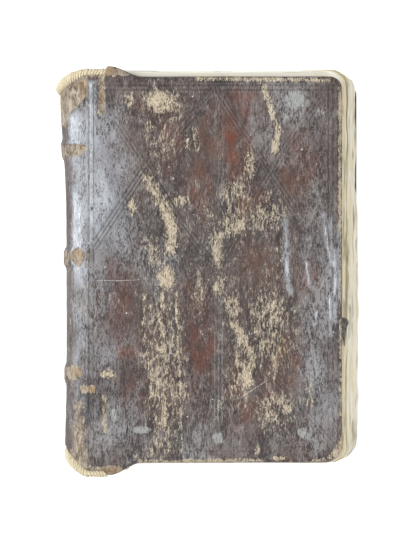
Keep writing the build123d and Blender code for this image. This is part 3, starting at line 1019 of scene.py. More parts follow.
@dataclass
class CoverLeather:
    """The leather of one cover: its face, its edges and caps, and its turn-ins."""

    name: str
    body: str
    node: str
    book: BookFrame
    joint: float
    level: float
    outward: int
    columns: int
    rows: int
    tooled: bool
    seed: float
    edge_round: float = 2.2
    head_corner: float = 6.5
    tail_corner: float = 9.5
    cap_tear: float = 8.6
    cap_peak: float = 11.0
    cap_length: float = 28.0
    corner_ease: float = 12.0
    joint_gap: float = 0.1
    turn_in: float = 15.0
    fold: float = 0.9
    head_low: float = 0.4
    tail_low: float = 4.2
    cap_share: float = 1.0
    crown_width: float = 27.0
    crown_drop: float = 0.85
    cut_margin: float = 1.2
    suede_depth: float = 0.35
    wear_depth: float = 0.1
    flap_lift: float = 0.7
    deepest: float = -1.0
    plain_depth: float = 0.3
    least_radius: float = 0.3
    cap_fade: float = 8.0
    tear_soft: float = 1.4
    # Where the painted highlight beside each tooled line lies, in half widths, and how wide it is.
    rim_at: float = 1.5
    rim_width: float = 0.4
    broad_waves: Point = (0.22, 34.0)
    fine_waves: Point = (0.09, 9.0)
    edge_waves: Point = (0.16, 14.0)
    rub_rings: tuple[float, ...] = (0, 1, 3, 5, 7)
    rubs: tuple[float, ...] = (0.0, 0.28, 0.42, 0.3, 0.15)

    def across(self, u: np.ndarray, inset: np.ndarray) -> np.ndarray:
        """How far from the joint each share of the width lies, with closer steps at the fore-edge.

        Args:
            u: Shares of the width.
            inset: How far the fore-edge is drawn in.

        Returns:
            Distances from the joint.
        """
        reach = self.book.width - inset - self.joint_gap
        knee = (reach - self.corner_ease) / (reach + self.corner_ease)
        plain = u * (reach + self.corner_ease)
        eased = reach - self.corner_ease * ((1.0 - u) / (1.0 - knee)) ** 2
        return self.joint_gap + np.where(u < knee, plain, eased)

    def edge(self, x: np.ndarray, inset: np.ndarray, corner: float, rise: float, low: float) -> np.ndarray:
        """How far from the middle the head or tail edge lies.

        Args:
            x: Distances from the joint.
            inset: How far the line is drawn in from the outer edge.
            corner: The radius of the fore-edge corner.
            rise: How far the cap over the endband swells past the edge.
            low: How far the torn leather beside the joint reaches past the edge.

        Returns:
            The distance of the edge from the cover's middle.
        """
        radius = np.maximum(corner - inset, self.least_radius)
        over = np.clip(x - (self.book.width - corner), 0.0, radius)
        drop = radius - np.sqrt(radius**2 - over**2)
        swell = fade(x, self.cap_length, self.cap_peak) * np.clip(1.0 - inset / self.cap_fade, 0.0, 1.0)
        tear = fade(x, self.cap_tear - self.tear_soft, self.cap_tear + self.tear_soft)
        past = self.cap_share * rise * tear + low * (1.0 - tear)
        return self.book.half_height - inset - drop + swell * past

    def outline(self, u: np.ndarray, v: np.ndarray, inset: np.ndarray) -> tuple[np.ndarray, np.ndarray]:
        """Places on the cover, from the joint and from its middle, for shares of width and height.

        Args:
            u: Shares of the width.
            v: Shares of the height.
            inset: How far the outline is drawn in.

        Returns:
            Distances from the joint and from the middle.
        """
        x = self.across(u, inset)
        head = self.edge(x, inset, self.head_corner, self.book.head_rise, self.head_low)
        tail = self.edge(x, inset, self.tail_corner, self.book.tail_rise, self.tail_low)
        return x, v * head - (1.0 - v) * tail

    def profile(self) -> list[Point]:
        """The leather's way round the board's edge: inset from the outline and depth below the face.

        Returns:
            The inset and the depth of each ring of leather.
        """
        depth = self.book.leather_depth
        bend = [math.radians(angle) for angle in (30.0, 60.0, 90.0)]
        rings = [(self.edge_round * (1 - math.sin(a)), self.edge_round * (1 - math.cos(a))) for a in bend]
        rings += [(0.0, depth * 0.62), (0.05, depth - self.fold), (0.35, depth - 0.25), (self.fold, depth)]
        rings += [(4.5, depth), (self.turn_in, depth), (self.turn_in, depth - 0.6)]
        return rings

    def cut_lines(self, mesh: bmesh.types.BMesh) -> None:
        """Split the face along both edges and the bottom of each tooled line.

        Args:
            mesh: The flat face.
        """
        for group in TOOL_LINES:
            for start, stop in group.runs():
                run = (stop - start).normalized()
                across = Vector((-run.y, run.x))
                length = (stop - start).length
                reach = group.half_width + self.cut_margin
                strip = [
                    face
                    for face in mesh.faces
                    if abs((face.verts[0].co.xy - start).dot(across)) < reach
                    and -self.cut_margin < (face.verts[0].co.xy - start).dot(run) < length + self.cut_margin
                ]
                for shift in (-group.half_width, 0.0, group.half_width):
                    edges = {edge for face in strip for edge in face.edges}
                    corners = {vertex for face in strip for vertex in face.verts}
                    cut = bmesh.ops.bisect_plane(
                        mesh,
                        geom=[*strip, *edges, *corners],
                        plane_co=(start + across * shift).to_3d(),
                        plane_no=across.to_3d(),
                        dist=0.02,
                    )
                    strip = [item for item in cut["geom"] if isinstance(item, bmesh.types.BMFace)]

    def lines_at(self, x: np.ndarray, y: np.ndarray) -> dict[str, np.ndarray]:
        """How deep the tooled lines are at each place, how much painted shade darkens them or how pale their
        scratches are, and where the painted highlight along their rims lies.

        Args:
            x: Distances from the joint.
            y: Distances from the cover's middle.

        Returns:
            The four measures by name, one number for each place.
        """
        depth, dark, pale, rim = (np.zeros(x.shape) for _ in range(4))
        for group in TOOL_LINES if self.tooled else ():
            for start, stop in group.runs():
                distance = distance_to_path(x, y, (start[:], stop[:]))
                share = np.clip(1.0 - distance / group.half_width, 0.0, 1.0)
                off_rim = np.abs(distance - self.rim_at * group.half_width)
                beside = np.clip(1.0 - off_rim / self.rim_width, 0.0, 1.0)
                pressed = min(1.0, max(group.strength, group.pale))
                depth = np.maximum(depth, share * group.depth * pressed)
                pale = np.maximum(pale, share * group.pale)
                dark = np.maximum(dark, share * group.strength)
                rim = np.maximum(rim, beside * group.strength)
        return {"depth": depth, "groove": dark, "scratch": pale, "rim": rim * (1.0 - dark)}

    def marks_at(self, x: np.ndarray, y: np.ndarray) -> dict[str, np.ndarray]:
        """The strength of each kind of mark at each place on the cover.

        Args:
            x: Distances from the joint.
            y: Distances from the cover's middle.

        Returns:
            The strengths by the name of the mark's tone.
        """
        values = {tone.value: np.zeros(x.shape) for tone in Tone}
        if self.tooled:
            for mark in (*WEAR_OVALS, *WEAR_STREAKS, *WEAR_PATCHES):
                values[mark.tone.value] = np.maximum(
                    values[mark.tone.value], mark.cover(PHOTO.column(x), PHOTO.row(y))
                )
        else:
            values["wear"] += 0.28 + 0.3 * ripple(x, y, 30.0, self.seed + 3.0)
            values["red"] += 0.35 + 0.4 * ripple(x, y, 40.0, self.seed + 7.0)
        return values

    def waves(self, x: np.ndarray, y: np.ndarray, size: Point, shift: float) -> np.ndarray:
        """Uneven waves in the leather, of a height and a length, told apart by a shift of the seed."""
        height, length = size
        return height * ripple(x, y, length, self.seed + shift)

    def build(self, material: bpy.types.Material) -> bpy.types.Object:
        """Model the leather and let it ride on its cover.

        Args:
            material: The leather's finish.

        Returns:
            The finished piece.
        """
        mesh = bmesh.new()
        bmesh.ops.create_grid(mesh, x_segments=self.columns, y_segments=self.rows, size=0.5)
        share_u = mesh.verts.layers.float.new("share_u")
        share_v = mesh.verts.layers.float.new("share_v")
        ring = mesh.verts.layers.int.new("ring")
        for vertex in mesh.verts:
            vertex[share_u], vertex[share_v] = vertex.co.x + 0.5, vertex.co.y + 0.5
        flat = places_of(mesh) + 0.5
        inset = np.full(len(flat), self.edge_round)
        x, y = self.outline(flat[:, 0], flat[:, 1], inset)
        move_to(mesh, np.column_stack((x, y, np.zeros(len(x)))))
        if self.tooled:
            self.cut_lines(mesh)
        joint_side = self.joint_gap + 0.01
        rim = [
            edge
            for edge in mesh.edges
            if edge.is_boundary and max(vertex.co.x for vertex in edge.verts) > joint_side
        ]
        rings = [(self.edge_round, 0.0), *self.profile()]
        for index in range(1, len(rings)):
            grown = bmesh.ops.extrude_edge_only(mesh, edges=rim)["geom"]
            new = {item for item in grown if isinstance(item, bmesh.types.BMVert)}
            for vertex in new:
                vertex[ring] = index
            rim = [
                item
                for item in grown
                if isinstance(item, bmesh.types.BMEdge) and all(vertex in new for vertex in item.verts)
            ]
        self.shape(mesh, rings, (share_u, share_v, ring))
        values = self.finish_values(mesh, ring)
        face_along(mesh, 0, (0.0, 0.0, self.outward))
        piece = make_piece(self.name, mesh, material)
        keep_values(piece, values)
        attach(piece, self.body)
        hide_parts(self.node)
        return piece

    def shape(self, mesh: bmesh.types.BMesh, rings: list[Point], layers: tuple[Any, Any, Any]) -> None:
        """Give each vertex its place: the face, and the rings that wrap the board's edges.

        Args:
            mesh: The leather, with its face still flat.
            rings: The inset and the depth of each ring.
            layers: Where the shares of width and height and the ring's number are kept.
        """
        share_u, share_v, ring = layers
        index = np.array([vertex[ring] for vertex in mesh.verts])
        flat = places_of(mesh)
        u = np.array([vertex[share_u] for vertex in mesh.verts])
        v = np.array([vertex[share_v] for vertex in mesh.verts])
        inset = np.array([rings[i][0] for i in index])
        depth = np.array([rings[i][1] for i in index])
        ring_x, ring_y = self.outline(u, v, inset)
        x = np.where(index == 0, flat[:, 0], ring_x)
        y = np.where(index == 0, flat[:, 1], ring_y)
        groove = self.lines_at(flat[:, 0], flat[:, 1])["depth"]
        marks = self.marks_at(flat[:, 0], flat[:, 1])
        waves = self.waves(x, y, self.broad_waves, 0.0) + self.waves(x, y, self.fine_waves, 1.0)
        crown = self.crown_drop * np.clip(1.0 - x / self.crown_width, 0.0, 1.0) ** 2
        relief = waves - crown - groove
        relief = relief - self.suede_depth * marks["suede"] - self.wear_depth * marks["wear"]
        if self.tooled:
            relief += self.flap_lift * LIFTED_FLAP.cover(PHOTO.column(x), PHOTO.row(y))
        else:
            relief = np.minimum(relief - self.plain_depth, 0.0)
        relief = np.where(index < 3, np.maximum(relief, self.deepest), 0.0)
        on_edge = (index > 2) & (index < 7)
        y = y + np.sign(y) * np.where(on_edge, self.waves(x, y, self.edge_waves, 5.0), 0.0)
        z = self.level + self.outward * (relief - depth)
        move_to(mesh, np.column_stack((self.joint + x, self.book.middle + y, z)))

    def finish_values(self, mesh: bmesh.types.BMesh, ring: Any) -> dict[str, np.ndarray]:
        """The wear, the gloss with its painted sheen, and the tooled lines with their painted shade and rim
        highlights, kept on the vertices for the leather's finish.

        Args:
            mesh: The shaped leather.
            ring: Where the ring's number is kept.

        Returns:
            One number for each vertex, for each name.
        """
        places = places_of(mesh)
        x, y = places[:, 0] - self.joint, places[:, 1] - self.book.middle
        index = np.array([vertex[ring] for vertex in mesh.verts])
        values = self.marks_at(x, y)
        lines = self.lines_at(x, y)
        rubbed = np.interp(index, self.rub_rings, self.rubs)
        rubbed = rubbed * (0.75 + 0.9 * ripple(x, y, 16.0, self.seed + 9.0))
        values["wear"] = np.maximum(values["wear"], rubbed)
        for name in ("groove", "scratch", "rim"):
            values[name] = np.where(index == 0, lines[name], 0.0)
        values["red"] = np.clip(values["red"] + 0.15, 0.0, 1.0)
        if self.tooled:
            zone = RUBBED_ZONE.cover(PHOTO.column(x), PHOTO.row(y))
            values["wear"] = np.clip(values["wear"] + zone, 0.0, 1.0)
        # A little painted sheen everywhere, with slightly lower roughness.
        values["gloss_and_painted_sheen"] = np.clip(values["gloss_and_painted_sheen"] + 0.1, 0.0, 1.0)
        return values


@dataclass
class SpineLeather:
    """The leather over the rounded spine and its three raised bands, worn through at the bands."""

    book: BookFrame
    steps: int = 84
    rows: int = 250
    thickness: float = 0.9
    reach_rows: tuple[float, ...] = (78, 100, 125, 147, 170, 200, 240, 335, 400, 440, 465)
    reaches: tuple[float, ...] = (16.4, 16.0, 15.2, 14.3, 13.5, 12.9, 12.6, 12.4, 12.7, 13.3, 14.2)
    band_rows: tuple[float, ...] = (147.5, 257.5, 376.0)
    band_heights: tuple[float, ...] = (1.1, 1.5, 1.2)
    band_half_width: float = 4.3
    # Gloss by the way round the spine: a painted highlight band on the curve near the front joint, fading out
    # towards the back.
    sheen_at: tuple[float, ...] = (0.0, 0.03, 0.06, 0.10, 0.16, 0.21, 0.26)
    sheens: tuple[float, ...] = (0.66, 0.58, 0.70, 0.86, 0.82, 0.30, 0.03)
    knots: tuple[tuple[float, float, float, float], ...] = (
        (149.5, 0.13, 0.12, 7.0),
        (257.5, 0.10, 0.10, 8.5),
        (373.5, 0.15, 0.10, 8.0),
        (389.5, 0.04, 0.06, 4.0),
    )
    head_edge: Point3 = (0.6, 0.30, 0.010)
    tail_edge: Point3 = (3.4, 0.52, 0.012)
    joint_drop: float = 0.75
    joint_gap: float = 0.06
    plain_rise: float = 17.6
    plain_reach: float = 12.6
    seen_share: float = 0.97
    around: float = 62.0

    def arc(self, rise: np.ndarray, share: np.ndarray) -> tuple[np.ndarray, np.ndarray]:
        """Places on the circle from the front joint to the back one that bulges by a rise.

        Args:
            rise: How far the circle bulges past the joints' chord.
            share: Shares of the way round.

        Returns:
            The places, x and z.
        """
        front = np.array((self.book.front_joint, self.book.top))
        back = np.array((self.book.back_joint, 0.0))
        chord = front - back
        length = float(np.hypot(*chord))
        outward = np.array((-chord[1], chord[0])) / length
        radius = length**2 / (8.0 * rise) + rise / 2.0
        middle = (front + back) / 2.0
        centre_x = middle[0] + outward[0] * (rise - radius)
        centre_z = middle[1] + outward[1] * (rise - radius)
        first = np.arctan2(front[1] - centre_z, front[0] - centre_x)
        last = np.arctan2(back[1] - centre_z, back[0] - centre_x) % (2.0 * math.pi)
        angle = first + share * (last - first)
        return centre_x + radius * np.cos(angle), centre_z + radius * np.sin(angle)

    def rise_at(self, y: np.ndarray) -> np.ndarray:
        """How far the spine bulges past the joints' chord at each height of the book."""
        reach = np.interp(PHOTO.row(y), self.reach_rows, self.reaches)
        return self.plain_rise + (reach - self.plain_reach) / self.seen_share

    def band_at(self, y: np.ndarray) -> np.ndarray:
        """How far the raised bands lift the leather at each height of the book.

        Args:
            y: Distances above the covers' middle.

        Returns:
            The lift at each height.
        """
        lift = np.zeros(y.shape)
        for row, height in zip(self.band_rows, self.band_heights):
            offset = np.abs(PHOTO.row(y) - row) * PHOTO.mm_per_pixel
            lift += height * fade(offset, self.band_half_width + 2.2, self.band_half_width - 1.6)
        return lift

    def build(self, material: bpy.types.Material) -> bpy.types.Object:
        """Model the leather and let it ride on the book block.

        Args:
            material: The leather's finish.

        Returns:
            The finished piece.
        """
        mesh = bmesh.new()
        bmesh.ops.create_grid(mesh, x_segments=self.steps, y_segments=self.rows, size=0.5)
        flat = places_of(mesh) + 0.5
        share, v = flat[:, 0], flat[:, 1]
        half = self.book.half_height
        y = (2.0 * v - 1.0) * (half - 1.5)
        bulge = self.rise_at(y) * np.sin(np.clip(share, 0.0, 1.0) * math.pi)
        head, tail = (
            half + start - slope * bulge - curve * bulge**2
            for start, slope, curve in (self.head_edge, self.tail_edge)
        )
        fray = 0.55 * ripple(share * 60.0, v * 3.0, 3.0, 5.0)
        y = v * (head + fray) - (1.0 - v) * (tail + fray)
        fold = fade(share, 0.0, 0.14) * fade(share, 1.0, 0.86)
        creases = 0.16 * ripple(share * 70.0, y / 6.0, 5.0, 2.0) + 0.12 * ripple(share * 40.0, y, 7.0, 4.0)
        rise = self.rise_at(y) + (self.band_at(y) + creases) * fold
        x, z = self.arc(rise, share)
        z = z - self.joint_drop * fade(share, 0.05, 0.0) + self.joint_drop * fade(share, 0.95, 1.0)
        joint = np.where(share < 0.5, self.book.front_joint, self.book.back_joint)
        x = np.minimum(x, joint - self.joint_gap)
        move_to(mesh, np.column_stack((x, self.book.middle + y, z)))
        values = self.finish_values(share, y)
        face_along(mesh, len(mesh.faces) // 2, (-1.0, 0.0, 0.0))
        piece = make_piece("spine_skin", mesh, material)
        keep_values(piece, values)
        solid = piece.modifiers.new("leather_thickness", "SOLIDIFY")
        solid.thickness = self.thickness * METRES_PER_MM
        solid.offset = -1.0
        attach(piece, "book_block")
        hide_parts("spine_leather")
        return piece

    def finish_values(self, share: np.ndarray, y: np.ndarray) -> dict[str, np.ndarray]:
        """The wear kept on the spine's vertices: bare suede at the head, tan on the bands, and a painted
        highlight band down the spine.

        Args:
            share: Shares of the way round the spine.
            y: Distances above the covers' middle.

        Returns:
            One number for each vertex, for each name.
        """
        rows = PHOTO.row(y)
        around = share * self.around
        uneven = ripple(around, y, 9.0, 11.0)
        ragged = uneven + 0.8 * ripple(around, y, 4.0, 19.0)
        bands = np.clip(self.band_at(y) / 1.1, 0.0, 1.0)
        reach = np.clip(np.minimum(share, 1.0 - share) / 0.12, 0.0, 1.0)
        band_wear = 0.8 * fade(bands * reach**0.5 + 0.9 * ragged, 0.6, 1.1) * fade(share, 0.20, 0.27)
        knots, hearts = np.zeros(share.shape), np.zeros(share.shape)
        for row, middle, half_width, half_height in self.knots:
            distance = np.hypot((share - middle) / half_width, (rows - row) / half_height)
            knots = np.maximum(knots, fade(distance + 0.35 * ragged, 1.2, 0.8))
            hearts = np.maximum(hearts, fade(distance + 0.3 * ragged, 0.75, 0.25))
        band_wear = np.maximum(band_wear, knots)
        head_loss = fade(rows + 9.0 * uneven + 13.0 * np.cos(share * 9.0), 120.0, 104.0)
        tail_loss = fade(rows + 7.0 * uneven, 446.0, 460.0)
        strip = fade(np.abs(share - 0.10) * self.around + 3.5 * ragged, 5.5, 2.0)
        strip = strip * fade(rows + 10.0 * ragged, 390.0, 408.0)
        # Painted highlight down the spine, strongest in the middle rows and broken up by waves.
        sheen = np.interp(rows, (96, 112, 260, 285, 380, 440), (0.5, 1.3, 1.3, 0.9, 0.8, 0.6))
        sheen = sheen * np.clip(0.9 + 0.6 * ripple(around, y, 14.0, 17.0), 0.3, 1.0)
        back = fade(share, 0.30, 0.38) * fade(share, 0.66, 0.56)
        return {
            "wear": np.clip(0.22 + 0.35 * uneven, 0.0, 0.55),
            "red": np.clip(0.15 + 0.3 * ripple(around, y, 22.0, 13.0), 0.0, 1.0),
            "gloss_and_painted_sheen": np.clip(sheen * np.interp(share, self.sheen_at, self.sheens), 0.0, 1.0),
            "suede": np.clip(np.maximum.reduce((band_wear, head_loss, tail_loss, 0.8 * strip)), 0.0, 1.0),
            "cream": back * fade(rows + 22.0 * ragged, 126.0, 104.0),
            "ochre": np.clip(0.9 * hearts * fade(rows, 180.0, 240.0), 0.0, 1.0),
        }


@dataclass
class TextBlock:
    """The sewn leaves: many thin groups with uneven edges, and a plain leaf at the front and the back."""

    book: BookFrame
    groups: int = 46
    edge_points: int = 230
    head_reach: float = 3.6
    tail_reach: float = 0.6
    front_reach: float = 1.6
    back_setback: float = 0.5
    spine_radius: float = 26.6
    spine_centre: Point = (18.25, 29.84)
    lean_from: float = 51.0
    lean_to: float = 3.7
    top_setback: float = 3.2
    top_drop: float = 1.6
    corner_radius: float = 8.0
    wide_rows: tuple[float, ...] = (185, 210, 300, 440, 456)
    wide: tuple[float, ...] = (0.0, 1.5, 1.8, 1.5, 0.0)
    flare_rows: tuple[float, ...] = (75, 100, 125, 147, 170, 200, 400, 440, 465)
    flares: tuple[float, ...] = (4.4, 3.6, 2.6, 1.6, 0.8, 0.2, 0.0, 0.6, 1.4)
    seed: int = 7
    covered_from: float = 0.93
    fore_jitter: Point = (-1.4, 0.9)
    head_jitter: Point = (-0.9, 0.7)
    soil_jitter: Point = (-0.35, 0.35)
    soiled_groups: int = 14
    soil_reach: float = 7.0
    leaf_gap: float = 0.1
    corner_shares: tuple[float, ...] = (0.0, 0.25, 0.58, 0.83, 1.0)
    head_seat: Point = (0.9, 0.385)
    tail_seat: Point3 = (0.2, 0.385, 0.66)

    def round_corner(
        self, x: np.ndarray, y: np.ndarray, fore: float, end: float
    ) -> tuple[np.ndarray, np.ndarray]:
        """Round one fore-edge corner of a group of leaves.

        Args:
            x: Where the outline's points lie from the spine to the fore-edge.
            y: Where they lie from the middle to the head.
            fore: Where the fore-edge lies.
            end: Where the head or the tail edge lies.

        Returns:
            The points' new places, x and y.
        """
        side = math.copysign(1.0, end)
        centre = (fore - self.corner_radius, end - side * self.corner_radius)
        out = np.maximum(x - centre[0], 1e-6)
        up = np.maximum(side * (y - centre[1]), 1e-6)
        near = (x > centre[0]) & (side * y > side * centre[1])
        scale = np.maximum(out, up) / np.hypot(out, up)
        return (
            np.where(near, centre[0] + out * scale, x),
            np.where(near, centre[1] + side * up * scale, y),
        )

    def leaf_edge(self, low: float, jitter: Point, index: int) -> np.ndarray:
        """The outline of one group of leaves.

        Args:
            low: The height of the group's lower face.
            jitter: How far the group stands out at the fore-edge and at the head.
            index: The group's number, counted from the back.

        Returns:
            One row of coordinates for each point of the outline, against the clock.
        """
        book = self.book
        level = (low - book.leaf_low) / (book.leaf_high - book.leaf_low)
        fore = (1.0 - level) * (book.back_joint - self.back_setback)
        fore += level * (book.front_joint + self.front_reach)
        covered = max(0.0, (level - self.covered_from) / (1.0 - self.covered_from))
        fore += book.width + jitter[0] - self.top_setback * covered
        offset = low - self.spine_centre[1]
        spine = book.front_joint + self.spine_centre[0] - math.sqrt(self.spine_radius**2 - offset**2)
        lean = (self.lean_from - low) / (self.lean_from - self.lean_to)
        chord = book.front_joint + lean * (book.back_joint - book.front_joint)
        share = np.arange(self.edge_points) / self.edge_points
        along = np.interp(share, self.corner_shares, (0.0, 1.0, 1.0, 0.0, 0.0))
        up = np.interp(share, self.corner_shares, (0.0, 0.0, 1.0, 1.0, 0.0))
        x = spine + along * (fore - spine)
        head = book.half_height + self.head_reach + jitter[1] - self.top_drop * covered
        tail = book.half_height + self.tail_reach + 0.3 * jitter[1]
        inside = x - chord
        drop, slope = self.head_seat
        head_seat = book.half_height - drop + slope * inside
        drop, slope, spine_slope = self.tail_seat
        tail_seat = book.half_height - drop + np.where(inside < 0.0, spine_slope, slope) * inside
        head_edge = np.minimum(head + 0.8 * ripple(x, x * 0 + index * 3.1, 38.0, 3.0), head_seat)
        tail_edge = np.minimum(tail + 0.4 * ripple(x, x * 0 + index * 3.1, 30.0, 8.0), tail_seat)
        y = up * head_edge - (1.0 - up) * tail_edge
        ragged = 0.75 * ripple(y, y * 0 + index * 3.7, 9.0, 5.0)
        ragged += 1.1 * ripple(y, y * 0 + index * 9.0, 45.0, 6.0)
        ragged += max(0.0, 1.0 - level / 0.6) * np.interp(PHOTO.row(y), self.wide_rows, self.wide)
        x = x + np.where(along > 0.999, ragged, 0.0)
        x, y = self.round_corner(x, y, fore, head)
        x, y = self.round_corner(x, y, fore, -tail)
        flare = np.interp(PHOTO.row(y), self.flare_rows, self.flares)
        x = x - flare * fade(along, 0.12, 0.0)
        return np.column_stack((x, book.middle + y))

    def build(self, edges: bpy.types.Material, faces: bpy.types.Material) -> bpy.types.Object:
        """Model the leaves and let them ride on the book block.

        Args:
            edges: The finish of the leaves' cut edges.
            faces: The finish of the leaves' open faces.

        Returns:
            The finished piece.
        """
        draw = random.Random(self.seed)
        mesh = bmesh.new()
        soil_layer = mesh.verts.layers.float.new("soil_share")
        height = (self.book.leaf_high - self.book.leaf_low) / self.groups
        for index in range(self.groups):
            low = self.book.leaf_low + index * height
            jitter = (draw.uniform(*self.fore_jitter), draw.uniform(*self.head_jitter))
            edge = self.leaf_edge(low, jitter, index)
            soil = draw.uniform(*self.soil_jitter)
            soil += 0.5 if index > self.groups - self.soiled_groups else -0.05
            circle = bmesh.ops.create_circle(mesh, cap_ends=True, segments=self.edge_points, radius=1.0)
            ordered = sorted(circle["verts"], key=lambda vertex: math.atan2(vertex.co.y, vertex.co.x))
            for vertex, place in zip(ordered, edge.tolist()):
                vertex.co = (*place, low + 0.4 * self.leaf_gap)
            face = ordered[0].link_faces[0]
            grown = bmesh.ops.extrude_face_region(mesh, geom=[face])["geom"]
            upper = [item for item in grown if isinstance(item, bmesh.types.BMVert)]
            bmesh.ops.translate(mesh, verts=upper, vec=(0.0, 0.0, height - self.leaf_gap))
            for vertex in (*ordered, *upper):
                near = vertex.co.x > edge[:, 0].max() - self.soil_reach
                vertex[soil_layer] = soil if near else -0.4
        bmesh.ops.recalc_face_normals(mesh, faces=mesh.faces)
        soil_values = np.array([vertex[soil_layer] for vertex in mesh.verts])
        outer = (self.book.leaf_low + 0.5 * height, self.book.leaf_high - 0.5 * height)
        for face in mesh.faces:
            level = face.calc_center_median().z
            plain = abs(face.normal.z) > 0.9 and not outer[0] < level < outer[1]
            face.material_index = int(plain)
        piece = make_piece("leaves", mesh, edges)
        piece.data.materials.append(faces)
        piece.data.shade_flat()
        keep_values(piece, {"soil": soil_values})
        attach(piece, "book_block")
        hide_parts("text_block")
        return piece


@dataclass
class ForeEdgeTab:
    """The small dark tab that stands out between the leaves at the fore-edge."""

    middle: Point3 = (68.0, -26.9, 45.6)
    half_size: Point3 = (3.4, 2.6, 0.45)
    tail: float = 12.8
    narrowing: float = 0.85
    tail_shift: float = 1.2

    def build(self, material: bpy.types.Material) -> bpy.types.Object:
        """Model the tab, drawn out towards the tail, and let it ride on the book block.

        Args:
            material: The tab's finish.

        Returns:
            The finished piece.
        """
        mesh = bmesh.new()
        bmesh.ops.create_uvsphere(mesh, u_segments=20, v_segments=10, radius=1.0)
        places = places_of(mesh) * np.array(self.half_size)
        drawn = np.clip(-places[:, 1] / self.half_size[1], 0.0, 1.0)
        places[:, 0] = places[:, 0] * (1.0 - self.narrowing * drawn) + self.tail_shift * drawn
        places[:, 1] -= drawn**2 * (self.tail - self.half_size[1])
        move_to(mesh, places + np.array(self.middle))
        piece = make_piece("fore_edge_tab", mesh, material)
        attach(piece, "book_block")
        return piece


BandPath = tuple[list[Vector], list[Vector], list[float]]


